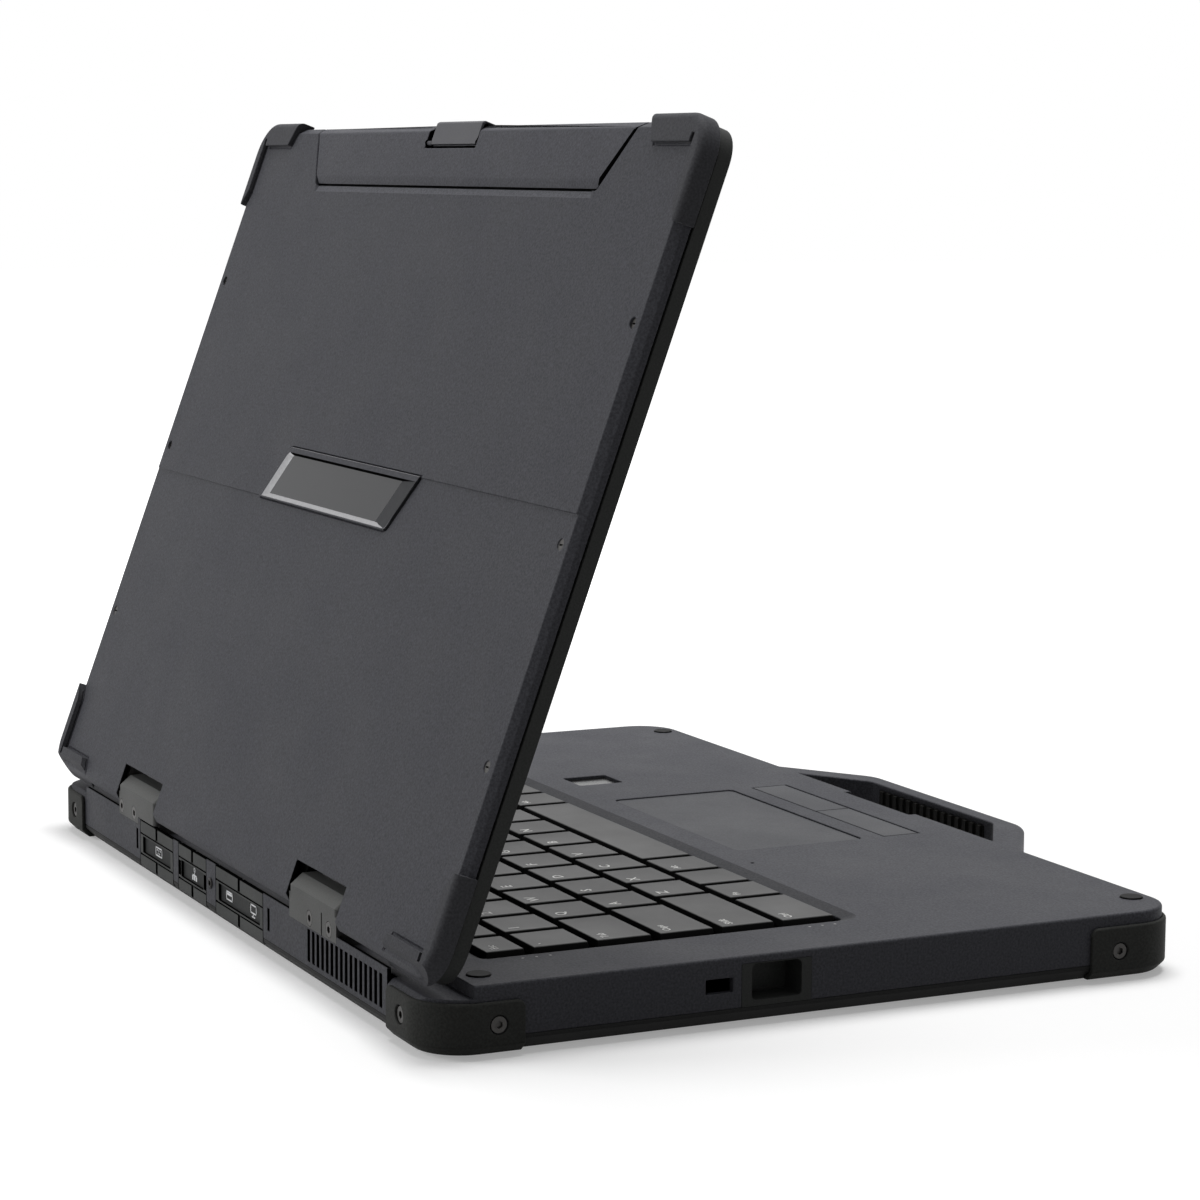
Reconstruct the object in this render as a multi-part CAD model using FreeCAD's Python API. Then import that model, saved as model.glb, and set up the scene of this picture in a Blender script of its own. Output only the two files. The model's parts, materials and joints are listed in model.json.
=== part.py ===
import FreeCAD, Part
import math
import os

# A 14 inch laptop computer with a carry handle, corner bumpers and a lid held open.
# +X is the user's right, +Y the rear, +Z up. All sizes are in millimetres.

V = FreeCAD.Vector
TINY = 1e-6

# Base
base_w = 332.0
base_d = 231.5
base_h = 18.5
foot_h = 1.0
corner_r = 14.0
case_wall = 2.4
deck_t = 2.2
deck_edge = 0.5
cover_h = 4.5
cover_t = 1.8
belly_chamfer = 3.4
shelf_d = 12.0
shelf_drop = 3.5
shelf_edge = 1.6
shelf_t = 1.8
panel_in = 30.0
rear_panel_t = 3.0
parapet_t = 1.2
parapet_drop = 0.8
fit_gap = 0.3
pin_gap = 0.05

# Lid, measured closed
lid_overhang = 2.0
lid_tail = 4.8
lid_corner_r = 10.0
lid_gap = 1.0
bezel_t = 4.2
groove_h = 0.6
groove_d = 1.5
back_t = 4.4
back_roof = 1.6
back_wall = 2.2
back_chamfer = 2.4
lid_open = 70.0
crease_drop = 0.4
crease_right = 122.4
crease_left = 105.4

# Hinges
axis_back = 5.2
axis_up = 4.5
hinge_x = 80.4
hinge_w = 36.8
notch_gap = 0.8
notch_reach = 7.2
apron_drop = 2.8
skirt_drop = 0.6
housing_slit_x = -87.6
housing_slit_w = 0.8
housing_slit_h = 6.4
housing_slit_d = 0.8
housing_round = 1.4
housing_front_cut = 2.4
housing_slope_d = 3.6
housing_slope_h = 3.0
pin_r = 2.2
pin_in = 14.0
pin_out = 16.0
bracket_w = 14.0
bracket_front = 20.0
bracket_h = 6.2
bracket_back = 1.0
hinge_screw_left = (-78.0, -93.0)
hinge_screw_right = (83.0, 96.2)
hinge_screw_drop = 0.0

# Display
window_side = 10.75
window_d = 175.5
window_front = 24.0
glass_lip = 4.0
glass_t = 0.9
ledge_t = 0.8
panel_lip = 3.6
panel_t = 3.0
camera_w = 30.0
camera_d = 7.0
camera_t = 2.4
camera_front = 12.0
lens_r = 2.0
lens_sink = 0.4

# Lid back trim
top_panel_mid = -4.4
top_panel_long = 244.0
top_panel_short = 214.0
top_panel_d = 20.2
top_panel_r = 2.5
trim_gap = 0.4
badge_w = 106.0
badge_d = 17.6
badge_slant = 13.0
badge_front = 113.9
badge_rims = (2.2, 0.5, 0.6, 0.6)
badge_bevels = (0.2, 1.4, 4.4, 10.5)
badge_gap = 0.4
badge_depth = 1.0
badge_window_t = 0.5
badge_proud = 0.3
badge_round = 4.0
badge_round_cut = 0.6
badge_wall = 1.0
badge_floor = 1.2
lid_screw_in = 6.5
lid_screw_y = (54.0, 114.0, 174.0)
lid_screw_r = 1.6
lid_screw_l = 2.0
lid_screw_sink = 0.7
lid_screw_slot = 0.5
lid_lug_wall = 1.2

# Latch
latch_w = 38.0
latch_d = 7.2
latch_t = 1.4
latch_proud = 0.2
latch_edge = 1.0
latch_hook = 4.0
latch_lip = 4.3
latch_lip_t = 1.0
latch_axis_in = 6.0
latch_axis_down = 0.9
latch_pin_r = 0.7
latch_pin_out = 2.0
latch_bay_wall = 3.0
latch_bay_floor = 1.0
latch_bay_gap = 0.6
latch_notch_w = 42.0
latch_notch_d = 2.9
latch_notch_drop = 5.8
catch_wall = 1.4

# Lid bumpers
lid_bumper_proud = 1.4
lid_bumper_rise = 1.5
lid_bumper_x = 28.0
lid_bumper_slant = 4.6
lid_bumper_round = 2.2
lid_bumper_front = 28.5
lid_bumper_rear = 29.2
lid_bumper_lip = 7.0
lid_bumper_side_lip = 4.0
lid_bumper_taper = 5.0
lid_bumper_tip = 0.8
lid_bumper_heel = 0.6
lid_bumper_notch_w = 1.6
lid_bumper_notch_d = 2.4
lid_bumper_groove = 0.7
lid_bumper_groove_d = 0.6

# Base bumpers
bumper_proud = 1.2
bumper_x = 28.4
bumper_end_r = 2.4
bumper_front_y = 31.0
bumper_rear_y = 26.0
bumper_front_top = 3.4
bumper_rear_top = 4.4
bumper_bottom = 0.5
bumper_edge = 0.8
bumper_keel = 3.0
bumper_screw_in = 19.0
bumper_screw_side_front = 21.4
bumper_screw_side_rear = 18.6
bumper_screw_drop = 10.6
bumper_screw_sink = 0.6

# Screws
screw_head_r = 2.2
screw_head_t = 1.3
screw_shank_r = 1.1
screw_shank = 4.0
screw_socket_r = 1.1
screw_socket_d = 0.8
screw_lug = 1.6
screw_gap = 0.15
screw_well_gap = 0.4

# Keyboard
key_pitch = 19.05
key_gap = 2.5
function_pitch = 13.9
keyboard_front = 95.0
keyboard_units = 14.33
key_taper = 0.5
key_rise = 0.3
key_h = 2.4
key_travel = 1.8
key_floor_gap = 0.3
well_margin = 0.8
well_bevel = 4.2
well_bevel_drop = 1.0
well_r = 2.5
tray_rim = 3.0
tray_t = 1.2
stem_w = 3.4
stem_below = 0.4

# Pointing devices and deck trim
touchpad_x0 = -47.0
touchpad_x1 = 39.6
touchpad_y0 = 36.0
touchpad_y1 = 79.5
touchpad_drop = 0.4
touchpad_t = 1.6
touchpad_r = 2.0
button_y0 = 15.5
button_y1 = 27.7
button_rest = 0.1
button_t = 2.6
button_split = 0.5
slot_gap = 0.4
button_front_gap = 0.8
end_round = 0.9
flange_w = 1.2
flange_t = 0.8
finger_x0 = 66.6
finger_x1 = 81.0
finger_y0 = 63.5
finger_y1 = 79.5
finger_drop = 1.0
finger_t = 2.0
finger_r = 1.0
pad_r = 3.3
pad_in = 16.0
pad_front = 6.2
pad_rear_in = 11.0
pad_rear = 213.6
pad_h = 1.1
pad_sink = 0.7
power_in = 46.0
power_y = 214.0
power_w = 14.0
power_d = 5.0

# Carry handle
handle_w = 165.0
handle_bar_w = 93.0
handle_reach = 25.0
handle_end = 16.0
handle_bar_t = 6.9
handle_slope = 8.0
handle_top = 1.2
handle_h = 13.4
handle_r = 14.0
handle_inner_r = 6.0
handle_edge = 1.2
grip_w = 66.0
grip_t = 1.6
grip_h = 9.0
grip_ribs = 15
grip_rib_w = 2.0
grip_rib_t = 0.8

# Rear port covers, by their right and left ends
serial_x = (76.3, 43.2)
network_x = (37.5, 11.2)
usb_video_x = (2.0, -39.6)
flap_t = 1.6
flap_top = 1.1
flap_bottom = 15.9
flap_pin_r = 0.5
flap_pin_out = 1.4
flap_recess = 0.8
flap_border = 2.6
flap_band = 3.8
flap_groove_w = 0.5
flap_groove_d = 0.6
flap_notch_w = 1.8
flap_side = 2.4
flap_nail_w = 2.2
flap_nail_h = 4.6
flap_nail_d = 1.0
bay_depth = 3.6
mouth_gap = 0.6

# Vents in the rear wall
vent_margin = 1.9
vent_pitch = 3.6
vent_count = 16
vent_w = 1.9
vent_top = 3.3
vent_h = 9.2
slit_x = (80.6, -43.6)
slit_top = 4.4
slit_w = 1.7
slit_h = 6.6
slit_d = 1.4

# Left side openings
lock_y = 148.6
lock_w = 8.2
lock_h = 4.0
lock_drop = 7.5
side_bay_y0 = 123.7
side_bay_y1 = 138.9
side_bay_top = 2.4
side_bay_h = 10.0
side_bay_d = 9.0
side_bay_wall = 1.2
side_bay_r = 1.5
side_bay_frame = 3.0

# Sockets
socket_d = 14.0
socket_back = 2.0
socket_sink = 0.4
serial_w = 17.0
serial_h = 8.4
serial_flange_w = 30.0
serial_flange_h = 10.0
serial_flange_t = 1.0
serial_lean = 1.4
serial_pitch = 2.77
serial_row = 1.4
serial_nose = 3.0
serial_pin_r = 0.5
serial_pin_sink = 0.6
network_w = 15.6
network_h = 9.8
network_mouth_w = 11.8
network_mouth_h = 7.2
network_key_h = 0.7
usb_w = 13.2
usb_h = 5.8
usb_t = 0.4
usb_tongue = 1.8
video_w = 14.2
video_h = 4.8
socket_share = 0.27
socket_drop = 10.4
side_port_y = (168.0, 150.0)
inlet_y = 186.0
inlet_r = 4.6
inlet_bore = 2.9
inlet_pin_r = 0.9
jack_y = 134.0
jack_r = 3.4
jack_bore = 1.8
side_port_drop = 8.2

# Inside the base
board_t = 1.4
board_drop = 9.2
board_x0 = -60.0
board_x1 = 140.0
board_y0 = 100.0
board_y1 = 205.0
chip_w = 24.0
chip_t = 1.6
coil_count = 3
coil_w = 6.0
chip_x = -20.0
chip_y = 165.0
memory_x0 = 30.0
memory_w = 68.0
memory_d = 30.0
memory_t = 2.4
memory_y0 = 115.0
battery_w = 230.0
battery_d = 72.0
battery_t = 11.0
battery_front = 8.0
battery_cells = 4
battery_groove = 0.8
battery_groove_w = 2.0
battery_r = 3.0
drive_w = 80.0
drive_d = 22.0
drive_t = 2.6
drive_x0 = -55.0
drive_y0 = 108.0
fan_in = 62.0
fan_y = 178.0
fan_w = 54.0
fan_t = 7.4
fan_wall = 1.2
fan_r = 21.0
fan_gap = 1.2
fan_hub_r = 9.0
fan_blades = 13
fan_blade_t = 1.0
fan_axle_r = 1.5
fan_corner_r = 4.0
fan_eye_lip = 4.0
fan_rotor_gap = 0.6
fan_sweep = 24.0
sink_fins = 14
sink_fin_t = 0.8
sink_d = 9.0
pipe_w = 7.0
pipe_t = 2.0
pipe_gap = 1.5
speaker_w = 34.0
speaker_d = 14.0
speaker_t = 6.0
speaker_r = 2.0
speaker_cone_d = 1.0
speaker_in = 28.0
speaker_y = 46.0

# Underside
foot_w = 34.0
foot_d = 9.0
foot_sink = 0.8
foot_in = 40.0
foot_front = 22.0
foot_rear = 208.0
intake_slots = 9
intake_pitch = 4.4
intake_w = 2.0
intake_l = 34.0
belly_screw_in = 20.0
belly_screw_y = (90.0, 196.0)
belly_corner_in = 16.0
belly_corner_y = 16.0

# Heights and edges that follow from the sizes above
deck_z = foot_h + base_h
belly_z = foot_h
split_z = foot_h + cover_h
floor_z = belly_z + cover_t
shelf_z = deck_z - shelf_drop
front_y = -base_d / 2
rear_y = base_d / 2
shelf_y = rear_y - shelf_d
left_x = -base_w / 2
right_x = base_w / 2
panel_x = right_x - panel_in
vent_x0 = vent_margin + vent_count * vent_pitch - panel_x
fan_x = fan_in - right_x
window_w = base_w - 2 * window_side
power_x = right_x - power_in
lid_screw_x = right_x - lid_screw_in
handle_screw_x = handle_w / 2 - handle_end / 2
axis_y = rear_y - axis_back
axis_z = deck_z + axis_up
lid_front = front_y - lid_overhang
lid_rear = axis_y + lid_tail
bezel_z = deck_z + lid_gap
bezel_top = bezel_z + bezel_t
back_z = bezel_top + groove_h
back_top = back_z + back_t
roof_z = back_top - back_roof
key_top = deck_z + key_rise
key_base = key_top - key_h
tray_top = key_base - key_travel - key_floor_gap
tray_z = tray_top - tray_t
keys_left = -keyboard_units * key_pitch / 2
keys_front = front_y + keyboard_front
keys_rear = keys_front + 5 * key_pitch + function_pitch


def block(x0, x1, y0, y1, z0, z1, r=0.0):
    """A box between two corners, with its upright edges rounded."""
    solid = Part.makeBox(x1 - x0, y1 - y0, z1 - z0, V(x0, y0, z0))
    if r:
        solid = solid.makeFillet(r, upright(solid))
    return solid


def upright(solid):
    return [e for e in solid.Edges if e.BoundBox.XLength < TINY and e.BoundBox.YLength < TINY]


def level(solid, z):
    """The edges that lie flat at one height."""
    return [e for e in solid.Edges if abs(e.BoundBox.ZMin - z) < TINY and abs(e.BoundBox.ZMax - z) < TINY]


def prism(points, z0, z1):
    """A polygon in plan, raised from z0 to z1."""
    loop = [V(x, y, z0) for x, y in points]
    return Part.Face(Part.makePolygon(loop + loop[:1])).extrude(V(0, 0, z1 - z0))


def beam(points, x0, x1):
    """A polygon of (y, z) points seen from the side, run from x0 to x1."""
    loop = [V(x0, y, z) for y, z in points]
    return Part.Face(Part.makePolygon(loop + loop[:1])).extrude(V(x1 - x0, 0, 0))


def rod_x(x0, x1, y, z, r):
    return Part.makeCylinder(r, x1 - x0, V(x0, y, z), V(1, 0, 0))


def rod_y(y0, y1, x, z, r):
    return Part.makeCylinder(r, y1 - y0, V(x, y0, z), V(0, 1, 0))


def rod_z(z0, z1, x, y, r):
    return Part.makeCylinder(r, z1 - z0, V(x, y, z0), V(0, 0, 1))


def flipped(shape):
    """The mirror image on the other side of the middle plane."""
    return shape.mirror(V(0, 0, 0), V(1, 0, 0))


def turned_open(shape):
    """A lid piece, modelled closed, swung to the angle that the lid stands at."""
    opened = shape.copy()
    opened.rotate(V(0, axis_y, axis_z), V(1, 0, 0), -lid_open)
    return opened


def screw(seat, direction, gap=0.0):
    """A screw whose head rests on the seat point and whose shank runs along the direction."""
    head_seat = seat - direction * screw_head_t
    head = Part.makeCylinder(screw_head_r + gap, screw_head_t, head_seat, direction)
    shank = Part.makeCylinder(screw_shank_r + gap, screw_shank, seat, direction)
    return head.fuse(shank).removeSplitter()


def drive_mark(seat, direction, across):
    """The hexagon socket in a screw's head."""
    top = seat - direction * screw_head_t
    upward = across.cross(direction)
    angles = [math.radians(60 * step) for step in range(7)]
    corners = [top + (across * math.cos(a) + upward * math.sin(a)) * screw_socket_r for a in angles]
    return Part.Face(Part.makePolygon(corners)).extrude(direction * screw_socket_d)


def base_envelope():
    """The outside of the closed base, with the chamfer round its underside."""
    body = block(left_x, right_x, front_y, rear_y, belly_z, deck_z, corner_r)
    return body.makeChamfer(belly_chamfer, level(body, belly_z))


def flap_opening(ends):
    """The recess in the rear wall that a port cover fills, open above."""
    x1, x0 = ends
    floor = rear_y - flap_t - fit_gap
    z0 = deck_z - flap_bottom - fit_gap
    hole = block(x0 - fit_gap, x1 + fit_gap, floor, rear_y + fit_gap, z0, deck_z)
    out = flap_pin_out + fit_gap
    pin = rod_x(x0 - out, x1 + out, *flap_axis(), flap_pin_r + pin_gap)
    return hole.fuse(pin)


def flap_axis():
    return rear_y - flap_t / 2, deck_z - flap_bottom + flap_t / 2


def bumper_screw_seats():
    """Seat and direction of every bumper screw, just below the case's own faces."""
    z = deck_z - bumper_screw_drop
    sink = bumper_screw_sink
    seats = []
    for side in (-1, 1):
        x = side * (right_x - bumper_screw_in)
        seats.append((V(x, front_y + sink, z), V(0, 1, 0)))
        seats.append((V(x, rear_y - sink, z), V(0, -1, 0)))
        for y in (front_y + bumper_screw_side_front, rear_y - bumper_screw_side_rear):
            seats.append((V(side * (right_x - sink), y, z), V(-side, 0, 0)))
    return seats


def handle_screw_seats():
    z = deck_z - handle_top - handle_h / 2
    return [(V(side * handle_screw_x, front_y, z), V(0, 1, 0)) for side in (-1, 1)]


def hinge_screw_seats():
    z = deck_z - hinge_screw_drop
    seat_y = rear_y - screw_head_t
    return [(V(x, seat_y, z), V(0, -1, 0)) for x in hinge_screw_left + hinge_screw_right]


def belly_screw_seats():
    z = belly_z + screw_head_t
    x = right_x - belly_screw_in
    spots = [(side * x, y) for side in (-1, 0, 1) for y in belly_screw_y]
    x = right_x - belly_corner_in
    spots += [(-x, belly_corner_y), (x, belly_corner_y)]
    return [(V(x, front_y + y, z), V(0, 0, 1)) for x, y in spots]


def screw_holes(seats, well=0.0):
    """A hole for each screw, with a round well of the given depth above its head."""
    holes = []
    for seat, direction in seats:
        holes.append(screw(seat, direction, screw_gap))
        if well:
            deep = screw_head_t + well
            rim = seat - direction * deep
            holes.append(Part.makeCylinder(screw_head_r + screw_well_gap, deep, rim, direction))
    return holes


def apron_recess():
    """Room in the rear panel for the hinge housings' aprons."""
    z0 = deck_z - apron_drop
    y0 = rear_y - parapet_t
    return [block(*apron_ends(x), y0, rear_y + fit_gap, z0, deck_z) for x in (-hinge_x, hinge_x)]


def apron_ends(mid):
    """The apron runs the housing's width, but stops short of the serial port's cover."""
    half = hinge_w / 2
    x0 = mid - half
    if mid > 0:
        x0 = max(x0, serial_x[0] + flap_side)
    return x0, mid + half


def rear_panel():
    """The plate across the rear: vents, recesses for the covers and the mouths of the sockets."""
    y1 = rear_y
    plate = block(-panel_x, panel_x, y1 - rear_panel_t, y1, split_z, shelf_z)
    parapet = block(-panel_x, panel_x, y1 - parapet_t, y1, shelf_z, deck_z - parapet_drop)
    plate = plate.fuse(parapet).removeSplitter()
    y0 = y1 - rear_panel_t
    cuts = []
    for i in range(vent_count):
        x = vent_x0 - i * vent_pitch
        cuts.append(block(x - vent_w, x, y0, y1, deck_z - vent_top - vent_h, deck_z - vent_top))
    for x in slit_x:
        cuts.append(block(x - slit_w, x, y1 - slit_d, y1, deck_z - slit_top - slit_h, deck_z - slit_top))
    cuts += [flap_opening(ends) for ends in (serial_x, network_x, usb_video_x)]
    cuts += apron_recess()
    g = mouth_gap
    cuts.append(serial_shell(-g, y0, y1))
    mouths = [(middle(network_x), network_mouth_w, network_mouth_h)]
    mouths += [(usb_mid(), usb_w, usb_h), (video_mid(), video_w, video_h)]
    for mid, wide, high in mouths:
        half = wide / 2 + g
        tall = high / 2 + g
        cuts.append(block(mid - half, mid + half, y0, y1, socket_z() - tall, socket_z() + tall))
    return plate.cut(cuts)


def side_bay_sides(grow=0.0):
    """The bay's ends and its lower and upper side, grown by a margin."""
    z1 = deck_z - side_bay_top
    y0 = front_y + side_bay_y0 - grow
    y1 = front_y + side_bay_y1 + grow
    return y0, y1, z1 - side_bay_h - grow, z1


def side_bay():
    """A framed bay let into the left wall, closed above by the deck."""
    w = case_wall
    y0, y1, z0, z1 = side_bay_sides()
    bay = block(left_x, left_x + side_bay_d, y0, y1, z0, z1)
    along = [e for e in bay.Edges if e.BoundBox.XLength > side_bay_d - TINY]
    bay = bay.makeFillet(side_bay_r, along)
    under = deck_z - deck_t
    y0, y1, _, _ = side_bay_sides(side_bay_frame)
    frame = block(left_x, left_x + w, y0, y1, split_z, under)
    y0, y1, z0, _ = side_bay_sides(side_bay_wall)
    cup = block(left_x, left_x + side_bay_d + side_bay_wall, y0, y1, z0, under)
    return frame.fuse(cup).removeSplitter().cut(bay)


def well_cut():
    """The keyboard's well: an upright opening below a wide bevel."""
    x = -keys_left + well_margin
    y0 = keys_front - well_margin
    y1 = keys_rear + well_margin
    hole = block(-x, x, y0, y1, deck_z - deck_t - fit_gap, deck_z, well_r)
    floor = deck_z - well_bevel_drop
    low = block(-x, x, y0, y1, floor, deck_z, well_r)
    wide = well_bevel
    high = block(-x - wide, x + wide, y0 - wide, y1 + wide, floor, deck_z, well_r + wide)
    rims = [Part.Wire(Part.sortEdges(edges)[0]) for edges in (level(low, floor), level(high, deck_z))]
    return hole.fuse(Part.makeLoft(rims, True, True))


def side_port_seats():
    """Centre and radius of the round and square holes in the right wall."""
    z = deck_z - side_port_drop
    wall = right_x - case_wall - fit_gap
    cuts = [rod_x(wall, right_x + fit_gap, front_y + inlet_y, z, inlet_r + screw_gap)]
    cuts.append(rod_x(wall, right_x + fit_gap, front_y + jack_y, z, jack_r + screw_gap))
    for y in side_port_y:
        mid = front_y + y
        half_w = usb_w / 2 + screw_gap
        half_h = usb_h / 2 + screw_gap
        cuts.append(block(wall, right_x + fit_gap, mid - half_w, mid + half_w, z - half_h, z + half_h))
    return cuts


def top_case():
    outer = base_envelope()
    outer = outer.makeChamfer(deck_edge, level(outer, deck_z))
    outer = outer.cut(block(left_x, right_x, front_y, rear_y, 0, split_z))
    shelf = block(left_x, right_x, shelf_y, rear_y, shelf_z, deck_z)
    outer = outer.cut(shelf)
    corner = [(rear_y - shelf_edge, shelf_z), (rear_y, shelf_z), (rear_y, shelf_z - shelf_edge)]
    outer = outer.cut(beam(corner, left_x, right_x))
    outer = outer.cut(block(-panel_x, panel_x, rear_y - rear_panel_t, rear_y, split_z, shelf_z))
    w = case_wall
    inner_r = corner_r - w
    hollow = block(left_x + w, right_x - w, front_y + w, rear_y - w, 0, shelf_z - shelf_t, inner_r)
    palm = block(left_x + w, right_x - w, front_y + w, shelf_y - deck_t, 0, deck_z - deck_t, inner_r)
    case = outer.cut([hollow, palm])
    z0 = deck_z - latch_notch_drop
    half = latch_notch_w / 2
    catch = block(-half - catch_wall, half + catch_wall, front_y + w, front_y + latch_notch_d + catch_wall,
                  z0 - catch_wall, deck_z - deck_t)
    case = case.fuse(catch)
    cuts = [well_cut()]
    cuts.append(block(-half, half, front_y, front_y + latch_notch_d, z0, deck_z))
    bay_y0, bay_y1, _, _ = side_bay_sides(side_bay_frame)
    cuts.append(block(left_x, left_x + w, bay_y0, bay_y1, split_z, deck_z - deck_t))
    cuts.append(block(left_x, left_x + w, front_y + lock_y - lock_w / 2, front_y + lock_y + lock_w / 2,
                      deck_z - lock_drop - lock_h / 2, deck_z - lock_drop + lock_h / 2))
    below = deck_z - deck_t
    cuts.append(block(touchpad_x0 - slot_gap, touchpad_x1 + slot_gap, front_y + touchpad_y0 - slot_gap,
                      front_y + touchpad_y1 + slot_gap, below, deck_z, touchpad_r))
    cuts.append(block(touchpad_x0 - slot_gap, touchpad_x1 + slot_gap, front_y + button_y0 - button_front_gap,
                      front_y + button_y1 + slot_gap, below, deck_z))
    y0 = front_y + finger_y0
    y1 = front_y + finger_y1
    cuts.append(block(finger_x0, finger_x1, y0, y1, below, deck_z, finger_r))
    half_w = power_w / 2 + slot_gap
    half_d = power_d / 2 + slot_gap
    mid = front_y + power_y
    cuts.append(block(power_x - half_w, power_x + half_w, mid - half_d, mid + half_d, below, deck_z,
                      half_d * end_round))
    for x, y in pad_places():
        cuts.append(rod_z(deck_z - pad_sink, deck_z, x, y, pad_r))
    cuts += side_port_seats()
    cuts += screw_holes(bumper_screw_seats(), bumper_proud)
    cuts += screw_holes(handle_screw_seats())
    return case.cut(cuts)


def pad_places():
    spots = ((right_x - pad_in, pad_front), (right_x - pad_rear_in, pad_rear))
    return [(side * x, front_y + y) for side in (-1, 1) for x, y in spots]


def bottom_cover():
    outer = base_envelope()
    outer = outer.cut(block(left_x, right_x, front_y, rear_y, split_z, deck_z))
    w = case_wall
    hollow = block(left_x + w, right_x - w, front_y + w, rear_y - w, floor_z, split_z, corner_r - w)
    pan = outer.cut(hollow)
    lug = screw_head_r + screw_lug
    bosses = [rod_z(floor_z, split_z, seat.x, seat.y, lug) for seat, _ in belly_screw_seats()]
    pan = pan.fuse(bosses)
    cuts = screw_holes(belly_screw_seats())
    for x, y in foot_places():
        cuts.append(foot(x, y, belly_z + foot_sink))
    half = (intake_slots - 1) * intake_pitch / 2
    for i in range(intake_slots):
        x = fan_x - half + i * intake_pitch
        cuts.append(block(x - intake_w / 2, x + intake_w / 2, fan_y_mid() - intake_l / 2,
                          fan_y_mid() + intake_l / 2, belly_z, floor_z))
    cuts += [flap_opening(ends) for ends in (serial_x, network_x, usb_video_x)]
    return pan.cut(cuts)


def fan_y_mid():
    return front_y + fan_y


def foot_places():
    x = right_x - foot_in
    return [(side * x, front_y + y) for side in (-1, 1) for y in (foot_front, foot_rear)]


def foot(x, y, top):
    half_w = foot_w / 2
    half_d = foot_d / 2
    return block(x - half_w, x + half_w, y - half_d, y + half_d, 0, top, half_d * end_round)


def rubber_feet():
    return [foot(x, y, belly_z + foot_sink) for x, y in foot_places()]


def deck_pads():
    pads = []
    for x, y in pad_places():
        pad = rod_z(deck_z - pad_sink, deck_z - pad_sink + pad_h, x, y, pad_r)
        pads.append(pad.makeChamfer((pad_h - pad_sink) / 2, level(pad, deck_z - pad_sink + pad_h)))
    return pads


def base_bumpers(y0, y1, top):
    """One pair of corner bumpers, wrapped round the base's upright edges."""
    p = bumper_proud
    z1 = deck_z - top
    shell = block(left_x - p, right_x + p, front_y - p, rear_y + p, bumper_bottom, z1, corner_r + p)
    shell = shell.makeChamfer(bumper_keel, level(shell, bumper_bottom))
    shell = shell.makeFillet(bumper_edge, level(shell, z1))
    shell = shell.cut(base_envelope())
    room = block(right_x - bumper_x, right_x + corner_r, y0, y1, belly_z, z1)
    inner = y1 if y0 < front_y else y0
    ends = [e for e in level(room, z1) if e.BoundBox.XMax < right_x]
    ends += [e for e in level(room, z1) if abs(e.BoundBox.YMin - inner) + e.BoundBox.YLength < TINY]
    room = room.makeFillet(bumper_end_r, ends)
    right = shell.common(room)
    right = right.cut(screw_holes(bumper_screw_seats(), bumper_proud))
    return [right, flipped(right)]


def base_bumpers_front():
    return base_bumpers(front_y - corner_r, front_y + bumper_front_y, bumper_front_top)


def base_bumpers_rear():
    return base_bumpers(rear_y - bumper_rear_y, rear_y + corner_r, bumper_rear_top)


def socket_screws(seats, across):
    return [screw(seat, way).cut(drive_mark(seat, way, across)) for seat, way in seats]


def case_screws():
    """The screws of the bumpers, the handle and the hinge housings, which are all alike."""
    return socket_screws(bumper_screw_seats() + handle_screw_seats() + hinge_screw_seats(), V(0, 0, 1))


def bottom_screws():
    return socket_screws(belly_screw_seats(), V(1, 0, 0))


def carry_handle():
    """A bow-shaped bar with two feet on the front wall."""
    z1 = deck_z - handle_top
    z0 = z1 - handle_h
    half = handle_w / 2
    bar = handle_bar_w / 2
    reach = front_y - handle_reach
    outer = prism([(-half, front_y), (-bar, reach), (bar, reach), (half, front_y)], z0, z1)
    far = [e for e in upright(outer) if e.BoundBox.YMin < reach + TINY]
    outer = outer.makeFillet(handle_r, far)
    outer = outer.makeChamfer(handle_edge, [e for e in level(outer, z1) + level(outer, z0)
                                            if e.BoundBox.YMin < front_y - TINY])
    inner_half = half - handle_end
    inner_bar = bar - handle_slope
    inside = reach + handle_bar_t
    bow = [(-inner_half, front_y), (-inner_bar, inside), (inner_bar, inside), (inner_half, front_y)]
    hole = prism(bow, z0, z1)
    corners = [e for e in upright(hole) if e.BoundBox.YMax < inside + TINY]
    hole = hole.makeFillet(handle_inner_r, corners)
    low = grip_z() - grip_h / 2
    seat = block(-grip_w / 2, grip_w / 2, inside - grip_t, inside, low, low + grip_h)
    return outer.cut([hole, seat] + screw_holes(handle_screw_seats(), handle_reach))


def grip_z():
    return deck_z - handle_top - handle_h / 2


def handle_grip():
    inside = front_y - handle_reach + handle_bar_t
    z0 = grip_z() - grip_h / 2
    z1 = grip_z() + grip_h / 2
    pad = block(-grip_w / 2, grip_w / 2, inside - grip_t, inside, z0, z1)
    step = grip_w / grip_ribs
    ribs = []
    for i in range(grip_ribs):
        x = -grip_w / 2 + (i + 0.5) * step
        ribs.append(block(x - grip_rib_w / 2, x + grip_rib_w / 2, inside, inside + grip_rib_t, z0, z1))
    return pad.fuse(ribs).removeSplitter()


def key_cap(x0, x1, y0, y1):
    """One island key: a tapered cap with a square guide stem below."""
    t = key_taper
    cap = Part.makeWedge(x0, key_base, -y1, t - y1, x0 + t, x1, key_top, -y0, -t - y0, x1 - t)
    cap.rotate(V(0, 0, 0), V(1, 0, 0), 90)
    mid_x = (x0 + x1) / 2
    mid_y = (y0 + y1) / 2
    half = stem_w / 2
    stem = block(mid_x - half, mid_x + half, mid_y - half, mid_y + half, tray_z - stem_below, key_base)
    return cap, stem


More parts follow.
